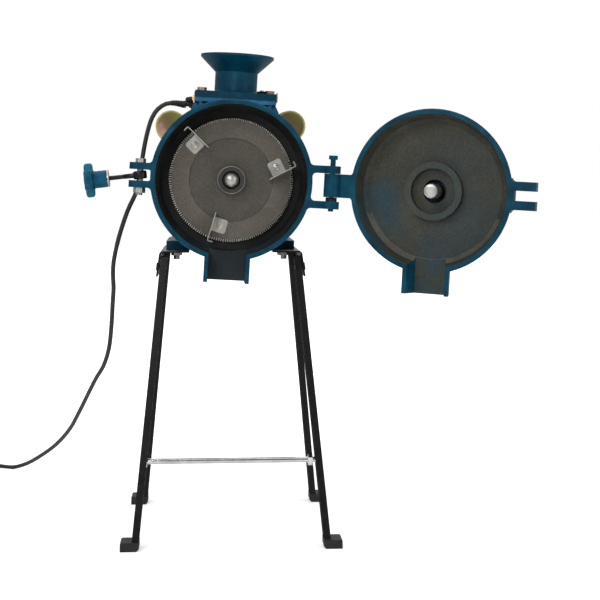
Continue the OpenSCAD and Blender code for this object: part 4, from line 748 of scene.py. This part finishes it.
def toothed_ring(name, r_out, r_rim, front, back, r_in, depth):
    """A plate whose front rim is cut into fine radial teeth, outside r_rim."""
    count = RIM_TEETH * POINTS_PER_TOOTH

    def ring(r, y, cut=0.0, pull=0.0):
        points = []
        for j in range(count):
            wave = 0.5 - 0.5 * math.cos(2 * math.pi * j / POINTS_PER_TOOTH)
            a = 2 * math.pi * j / count
            radius = r - pull * wave
            points.append((radius * math.cos(a), y + cut * wave, radius * math.sin(a)))
        return points

    face = front + FACE_DROP
    rows = [
        ring(r_in, back), ring(r_in, front + RIM_EDGE), ring(r_in + RIM_EDGE, front),
        ring(r_rim - RIM_ROUND, front), ring(r_rim, face, depth),
        ring(r_out - RIM_ROUND, face, depth, RIM_ROUND), ring(r_out, front + RIM_EDGE, depth, depth),
        ring(r_out, back - RIM_ROUND, 0, depth), ring(r_out - RIM_BACK_EDGE, back),
    ]
    return grid_mesh(name, rows, closed_rows=True)


def rim_material(mesh, place, r_rim):
    """Painted highlights on the tooth tips and painted shade in the gaps between them, outside r_rim."""
    mesh.materials.append(RIM)
    mesh.materials.append(INSIDE)
    back = place.inverted()
    for face in mesh.polygons:
        p = (back @ Vector(face.center)) / MM
        phase = math.atan2(p.z, p.x) / (2 * math.pi) * RIM_TEETH % 1
        if math.hypot(p.x, p.z) > r_rim:
            # Tips take the painted highlight, and the gaps take the dark bare iron as painted shade
            face.material_index = 1 if min(phase, 1 - phase) < TOOTH_TIP else 2


def disc_slot(r, y):
    """The disc's hub is dark, with a painted highlight ring along its front edge, and its outer band is
    ground.
    """
    if HUB_RING_IN < r < HUB_RING_OUT and y < HUB_RING_BACK:
        return 2
    if r < HUB_R and y < HUB_BACK:
        return 1
    return 3 if r > BAND_IN and y < BAND_BACK else 0


def make_grinding_faces():
    plate = toothed_ring("toothed_plate", PLATE_R, PLATE_RIM, PLATE_FRONT, PLATE_BACK, PLATE_HOLE_R,
                         PLATE_TOOTH)
    piece = add_piece("toothed_plate", plate, PLATE, "mill", HEAD, smooth=False)
    rim_material(plate, HEAD, PLATE_RIM + RIM_LAP)
    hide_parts("fixed_plate")
    disc = nodes["grinding_disc"]
    for material in (HUB, HUB_GLINT, BAND):
        disc.data.materials.append(material)
    back = HEAD.inverted()
    for face in disc.data.polygons:
        p = (back @ Vector(face.center)) / MM
        face.material_index = disc_slot(math.hypot(p.x, p.z), p.y)
    rim = toothed_ring("disc_teeth", DISC_R + RIM_OVERHANG, DISC_RIM, DISC_FRONT - RIM_PROUD,
                       DISC_FRONT + DISC_RIM_T, DISC_RIM - RIM_LAP, DISC_TOOTH)
    add_piece("disc_teeth", rim, PLATE, "rotor", HEAD, smooth=False)
    rim_material(rim, HEAD, DISC_TIP)


# Star knobs

STAR_LOBES, STAR_POINTS = 6, 192
STAR_CAP, STAR_FILLET, HUB_EDGE = 1.2, 1.5, 1.0
# The valleys' radius as a share of the lobes', and the shares between which the face turns from round to star
VALLEY_SHARE, CIRCLE_SHARE, STAR_SHARE = 0.70, 0.3, 0.8
CLAMP_STAR_R, CLAMP_STAR_T, CLAMP_HUB_R, CLAMP_HUB_TOP, CLAMP_BORE_R = 21, 10.7, 10.6, 16.4, 3.15
SCREW_STAR_R, SCREW_STAR_T, SCREW_HUB_R, SCREW_HUB_TOP = 27, 12.7, 13.9, 11.9
CLAMP_STAR_X, SCREW_STAR_Y = -56.8, -104


def star_row(share, z, r):
    row = []
    for j in range(STAR_POINTS):
        a = 2 * math.pi * j / STAR_POINTS
        wave = 0.5 + 0.5 * math.cos(STAR_LOBES * a)
        lobe = r * (VALLEY_SHARE + (1 - VALLEY_SHARE) * wave**0.8)
        blend = min(1, max(0, (share - CIRCLE_SHARE) / (STAR_SHARE - CIRCLE_SHARE)))
        radius = share * (lobe * blend + r * VALLEY_SHARE * (1 - blend))
        row.append((radius * math.cos(a), radius * math.sin(a), z))
    return row


def star_mesh(name, r, thick, hub_r, hub_top, bore=None):
    """A cast star grip that stands along -Z from z 0 down to -thick, with a round hub up to hub_top."""
    cap = -thick - STAR_CAP
    profile = [
        (0.02, cap), (0.35, cap), (0.42, -thick - 0.2), (0.86, -thick), (0.95, -thick + 0.9),
        (1.0, -thick + 2.6), (1.0, -2.6), (0.95, -0.9), (0.86, 0), (0.5, 0),
    ]
    hub = [(hub_r + STAR_FILLET, 0.2), (hub_r, 1.4), (hub_r, hub_top - HUB_EDGE), (hub_r - HUB_EDGE, hub_top)]
    rows = []
    if bore:
        profile = profile[1:]
        rows = [ring_points(bore, z, STAR_POINTS) for z in (hub_top, cap)]
    rows += [star_row(share, z, r) for share, z in profile]
    rows += [ring_points(radius, z, STAR_POINTS) for radius, z in hub]
    return grid_mesh(name, rows, closed_rows=bool(bore))


def make_knobs():
    place = SWING @ move(CLAMP_STAR_X, 0, 0) @ turn(math.pi / 2, "Y")
    mesh = star_mesh("star_knob", CLAMP_STAR_R, CLAMP_STAR_T, CLAMP_HUB_R, CLAMP_HUB_TOP, CLAMP_BORE_R)
    knob = add_piece("star_knob", mesh, KNOB_PAINT, "clamp_knob", place)
    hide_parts("clamp_knob")
    place = COVER @ move(0, SCREW_STAR_Y, 0) @ turn(-math.pi / 2, "X")
    mesh = star_mesh("screw_knob", SCREW_STAR_R, SCREW_STAR_T, SCREW_HUB_R, SCREW_HUB_TOP)
    knob = add_piece("screw_knob", mesh, KNOB_PAINT, "adjusting_screw", place)
    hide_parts("adjusting_knob")


# Threads and the swing bolt's eye

THREAD_STEPS = 5
SWING_THREAD_R, SWING_PITCH, SWING_THREAD_START, SWING_THREAD_END = 3.02, 1.0, -20, -63.9


def thread_mesh(name, r, pitch, start, end, depth_share=0.6, count=28):
    """A threaded bar along -X from start to end."""
    depth = pitch * depth_share
    steps = int(abs(end - start) / pitch * THREAD_STEPS)
    rows = []
    for i in range(steps + 1):
        x = start + (end - start) * i / steps
        fade = min(1, min(i, steps - i) / THREAD_STEPS)
        row = []
        for j in range(count):
            a = 2 * math.pi * j / count
            turn_share = (abs(x - start) / pitch + j / count) % 1
            wave = abs(turn_share * 2 - 1)
            radius = r - depth * (1 - wave * fade)
            row.append((x, radius * math.cos(a), radius * math.sin(a)))
        rows.append(row)
    return grid_mesh(name, rows)


def make_swing_thread():
    mesh = thread_mesh("swing_thread", SWING_THREAD_R, SWING_PITCH, SWING_THREAD_START, SWING_THREAD_END)
    thread = add_piece("swing_thread", mesh, BLACK_STEEL, "swing_bolt", SWING)
    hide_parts("swing_bolt")


EYE_OUT, EYE_IN, EYE_H = 8.4, 4.95, 10
EYE_CHAMFER, EYE_FLAT, EYE_BAND = 0.4, 1.2, 2
# The neck between eye and thread, as (distance from the eye's middle, radius)
NECK = [(6.2, 3.9), (8.2, 3.5), (9.6, 3.0), (20.2, 2.95)]
NECK_SIDES = 32


def make_swing_eye():
    top = EYE_H / 2
    upper = [(EYE_OUT, EYE_BAND), (EYE_OUT - 0.3, top - 0.8), (EYE_OUT - EYE_FLAT, top),
             (EYE_IN + EYE_CHAMFER, top), (EYE_IN, top - EYE_CHAMFER)]
    lower = [(r, -z) for r, z in reversed(upper)]
    mesh = spun_z("swing_eye", lower + upper, closed=True)
    add_piece("swing_eye", mesh, BLACK_STEEL, "swing_bolt", SWING)
    rows = [[(-x, y, z) for y, z, _ in ring_points(r, 0, NECK_SIDES)] for x, r in NECK]
    add_piece("swing_neck", grid_mesh("swing_neck", rows), BLACK_STEEL, "swing_bolt", SWING)


# Scrapers: a round-cornered plate with a thin blade folded off one side, and a pan-head screw

SCRAPER_RS, SCRAPER_START, SCRAPER_TWISTS = (59, 63.5, 59), 19, (11, -1, -3)
SCRAPER_W, SCRAPER_T, SCRAPER_CORNER = 18, 1.0, 3.2
BLADE_IN, BLADE_OUT, BLADE_H, BLADE_HOOK = 15, 22, 26, 7
PLATE_EDGE, BLADE_EDGE = 0.25, 0.2
SCREW_FACE = DISC_FRONT - SCRAPER_T
SCREW_TOP = SCREW_FACE - 2.5
SCREW_SIDES = 48
CROSS_REACH, CROSS_W, CROSS_DEPTH, CROSS_TWIST = 1.9, 0.7, 1.3, 0.4


def prism(name, outline, start, end):
    """A closed outline of (x, z) points drawn out along Y."""
    rows = [[(x, y, z) for x, z in outline] for y in (start, end)]
    return grid_mesh(name, rows)


def corner(x, z, r, start, steps=6):
    """Points of a quarter circle round (x, z), from the angle start."""
    return [
        (x + r * math.cos(start + math.pi / 2 * k / steps), z + r * math.sin(start + math.pi / 2 * k / steps))
        for k in range(steps + 1)
    ]


def make_scraper(i, place):
    half, inset = SCRAPER_W / 2, SCRAPER_W / 2 - SCRAPER_CORNER
    outline = [(-half, -half), (half, -half)]
    outline += corner(inset, inset, SCRAPER_CORNER, 0)
    outline += corner(-inset, inset, SCRAPER_CORNER, math.pi / 2)
    mesh = prism(f"scraper_plate_{i}", outline, SCREW_FACE, DISC_FRONT)
    plate = add_piece(f"scraper_plate_{i}", mesh, SHEET, "rotor", place, smooth=False)
    round_edges(plate, PLATE_EDGE)
    t = SCRAPER_T
    low, tip = -half - t, BLADE_OUT - t
    fold = [(tip - 0.6, low), (tip + 0.3, low + 0.3), (BLADE_OUT, low + 1.2)]
    hook = [(BLADE_OUT, low + BLADE_HOOK), (tip, low + BLADE_HOOK), (tip, low + t)]
    blade = [(-BLADE_IN, low), *fold, *hook, (-BLADE_IN, low + t)]
    mesh = prism(f"scraper_blade_{i}", blade, DISC_FRONT - BLADE_H, DISC_FRONT)
    piece = add_piece(f"scraper_blade_{i}", mesh, SHEET, "rotor", place, smooth=False)
    round_edges(piece, BLADE_EDGE)
    return plate


def make_scraper_screw(i, place):
    washer = [(4.3, 0), (4.3, 0.7), (3.9, 1.1), (2.7, 1.2), (2.7, 0)]
    pan = [(3.0, 0.4), (3.0, 1.3), (2.6, 2.0), (1.6, 2.38), (0.02, 2.5)]
    flange = lathe(f"screw_flange_{i}", [(r, SCREW_FACE - h) for r, h in washer], SCREW_SIDES)
    add_piece(f"screw_flange_{i}", flange, STEEL, "rotor", place)
    head = lathe(f"scraper_screw_{i}", [(r, SCREW_FACE - h) for r, h in pan], SCREW_SIDES, closed=False)
    piece = add_piece(f"scraper_screw_{i}", head, YELLOW_ZINC, "rotor", place)
    cut_cross(piece, place @ move(0, SCREW_TOP, 0))
    return piece


def make_scrapers():
    for i, twist in enumerate(SCRAPER_TWISTS):
        angle = math.radians(SCRAPER_START + i * FULL_TURN / len(SCRAPER_TWISTS))
        place = HEAD @ turn(-angle, "Y") @ move(SCRAPER_RS[i], 0, 0) @ turn(-math.radians(twist), "Y")
        plate = make_scraper(i, place)
        screw = make_scraper_screw(i, place)
        if i == 0:
            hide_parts("scrapers")
            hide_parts("scraper_screws")


def cut_cross(piece, place):
    """Cuts a cross recess, with its mouth at the place and its depth along +Y."""
    cutter = bmesh.new()
    for angle in (0, math.pi / 2):
        size = Matrix.Diagonal((CROSS_REACH * 2 * MM, CROSS_DEPTH * 2 * MM, CROSS_W * MM, 1))
        bmesh.ops.create_cube(cutter, size=1, matrix=place @ turn(angle + CROSS_TWIST, "Y") @ size)
    mesh = bpy.data.meshes.new("cross")
    cutter.to_mesh(mesh)
    cutter.free()
    tool = bpy.data.objects.new("cross", mesh)
    bpy.context.collection.objects.link(tool)
    cut = piece.modifiers.new("cross", "BOOLEAN")
    cut.object = tool
    cut.operation = "DIFFERENCE"
    cut.solver = "EXACT"
    cut.use_self = True
    graph = bpy.context.evaluated_depsgraph_get()
    result = bpy.data.meshes.new_from_object(piece.evaluated_get(graph))
    piece.modifiers.clear()
    piece.data = result
    bpy.data.objects.remove(tool)


# Toggle switch: threaded brass bush, nut and a black bellows boot

TOGGLE = MOTOR @ move(-47, 14, 106.5)
TOGGLE_TILT = math.radians(12)
BUSH_R, BUSH_PITCH, BUSH_START, BUSH_END, BUSH_SIDES = 5.0, 0.75, 0.2, -2.9, 48
BOOT_X, BOOT_SIDES = -3, 40
# The boot's bellows and its round tip, as (radius, height)
BELLOWS = [(4.3, -1.4), (4.5, 0.2), (4.2, 0.8), (4.6, 1.5), (4.6, 2.3), (4.1, 2.8), (4.4, 3.5), (4.3, 4.3)]
BOOT_TIP = [(3.7, 4.8), (3.9, 5.4), (3.7, 7.2), (3.2, 8.2), (2.0, 8.9), (0.02, 9.0)]


def make_toggle():
    mesh = thread_mesh("toggle_bush", BUSH_R, BUSH_PITCH, BUSH_START, BUSH_END, 0.5, BUSH_SIDES)
    add_piece("toggle_bush", mesh, TARNISHED, "mill", TOGGLE)
    tip = TOGGLE @ move(BOOT_X, 0, 0) @ turn(TOGGLE_TILT, "Z") @ turn(-math.pi / 2, "Y")
    mesh = spun_z("toggle_boot", BELLOWS + BOOT_TIP, BOOT_SIDES)
    boot = add_piece("toggle_boot", mesh, RUBBER, "toggle_lever", tip)
    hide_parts("toggle_lever")


# Floor, backdrop and light

FLOOR_SIZE = 8.0
# What the camera alone sees the floor give off, so that it is as white as the backdrop
FLOOR_GLOW, FAR_GLOW = 0.35, 1.0
NEAR, FAR = 0.35, 1.3
# The studio's walls are dark behind the camera and bright behind the mill
FRONT_GLOW, BACK_GLOW = 0.16, 0.62
FRONT_WAY, BACK_WAY = -0.95, 0.1


def make_floor():
    mesh = bpy.data.meshes.new("floor")
    corners = [(-1, -1), (1, -1), (1, 1), (-1, 1)]
    mesh.from_pydata([(x * FLOOR_SIZE, y * FLOOR_SIZE, 0) for x, y in corners], [], [(0, 1, 2, 3)])
    made, tree, shader = new_material("white_floor")
    paper = noise(tree, 3, detail=2)
    tree.links.new(ramp(tree, paper, [(0.3, (0.93, 0.93, 0.93)), (0.7, (0.96, 0.96, 0.96))]),
                   shader.inputs["Base Color"])
    shader.inputs["Roughness"].default_value = 0.9
    shader.inputs["Specular IOR Level"].default_value = 0.1
    shader.inputs["Emission Color"].default_value = (1, 1, 1, 1)
    seen = add(tree, "ShaderNodeLightPath").outputs["Is Camera Ray"]
    place = add(tree, "ShaderNodeNewGeometry").outputs["Position"]
    away = vector_math(tree, "LENGTH", place, result="Value")
    glow = combine(tree, "MULTIPLY", seen, remap(tree, away, NEAR, FAR, FLOOR_GLOW, FAR_GLOW))
    tree.links.new(glow, shader.inputs["Emission Strength"])
    mesh.materials.append(made)
    floor = bpy.data.objects.new("floor", mesh)
    bpy.context.collection.objects.link(floor)


def make_world():
    world = bpy.data.worlds.new("studio")
    bpy.context.scene.world = world
    world.use_nodes = True
    tree = world.node_tree
    plain = tree.nodes["Background"]
    plain.inputs["Color"].default_value = (1, 1, 1, 1)
    ways = add(tree, "ShaderNodeTexCoord")
    axes = add(tree, "ShaderNodeSeparateXYZ")
    tree.links.new(ways.outputs["Generated"], axes.inputs[0])
    shade = remap(tree, axes.outputs["Y"], FRONT_WAY, BACK_WAY, FRONT_GLOW, BACK_GLOW)
    tree.links.new(shade, plain.inputs["Strength"])
    seen = add(tree, "ShaderNodeBackground")
    seen.inputs["Color"].default_value = (1, 1, 1, 1)
    seen.inputs["Strength"].default_value = 1.0
    path = add(tree, "ShaderNodeLightPath")
    mix = add(tree, "ShaderNodeMixShader")
    tree.links.new(path.outputs["Is Camera Ray"], mix.inputs["Fac"])
    tree.links.new(plain.outputs[0], mix.inputs[1])
    tree.links.new(seen.outputs[0], mix.inputs[2])
    tree.links.new(mix.outputs[0], tree.nodes["World Output"].inputs["Surface"])


def area_light(name, place, target, size, power):
    data = bpy.data.lights.new(name, "AREA")
    data.shape = "RECTANGLE"
    data.size, data.size_y = size
    data.energy = power
    light = bpy.data.objects.new(name, data)
    light.location = place
    aim = Vector(target) - Vector(place)
    light.rotation_euler = aim.to_track_quat("-Z", "Y").to_euler()
    bpy.context.collection.objects.link(light)


def make_lights():
    area_light("key", (-1.1, -1.6, 1.9), (0, 0, 0.4), size=(1.2, 1.0), power=20)
    area_light("fill", (1.6, -1.3, 1.1), (0.1, 0, 0.4), size=(1.2, 1.4), power=10)
    area_light("front", (-0.42, -1.8, 0.95), (0, 0, 0.45), size=(0.4, 0.4), power=6.5)
    area_light("top", (0.1, 0.1, 2.2), (0, 0, 0.4), size=(1.6, 1.6), power=14)
    area_light("back", (0.2, 1.9, 1.4), (0, 0, 0.4), size=(1.4, 1.0), power=7)


def set_colour():
    scene = bpy.context.scene
    scene.view_settings.view_transform = "Standard"
    scene.view_settings.look = "None"
    scene.view_settings.exposure = 0.0
    scene.view_settings.gamma = 1.0


make_camera()
make_cord()
dress_solids()
dress_cans()
split_tones()
make_grinding_faces()
make_knobs()
make_swing_thread()
make_swing_eye()
make_scrapers()
make_toggle()
make_floor()
make_world()
make_lights()
set_colour()
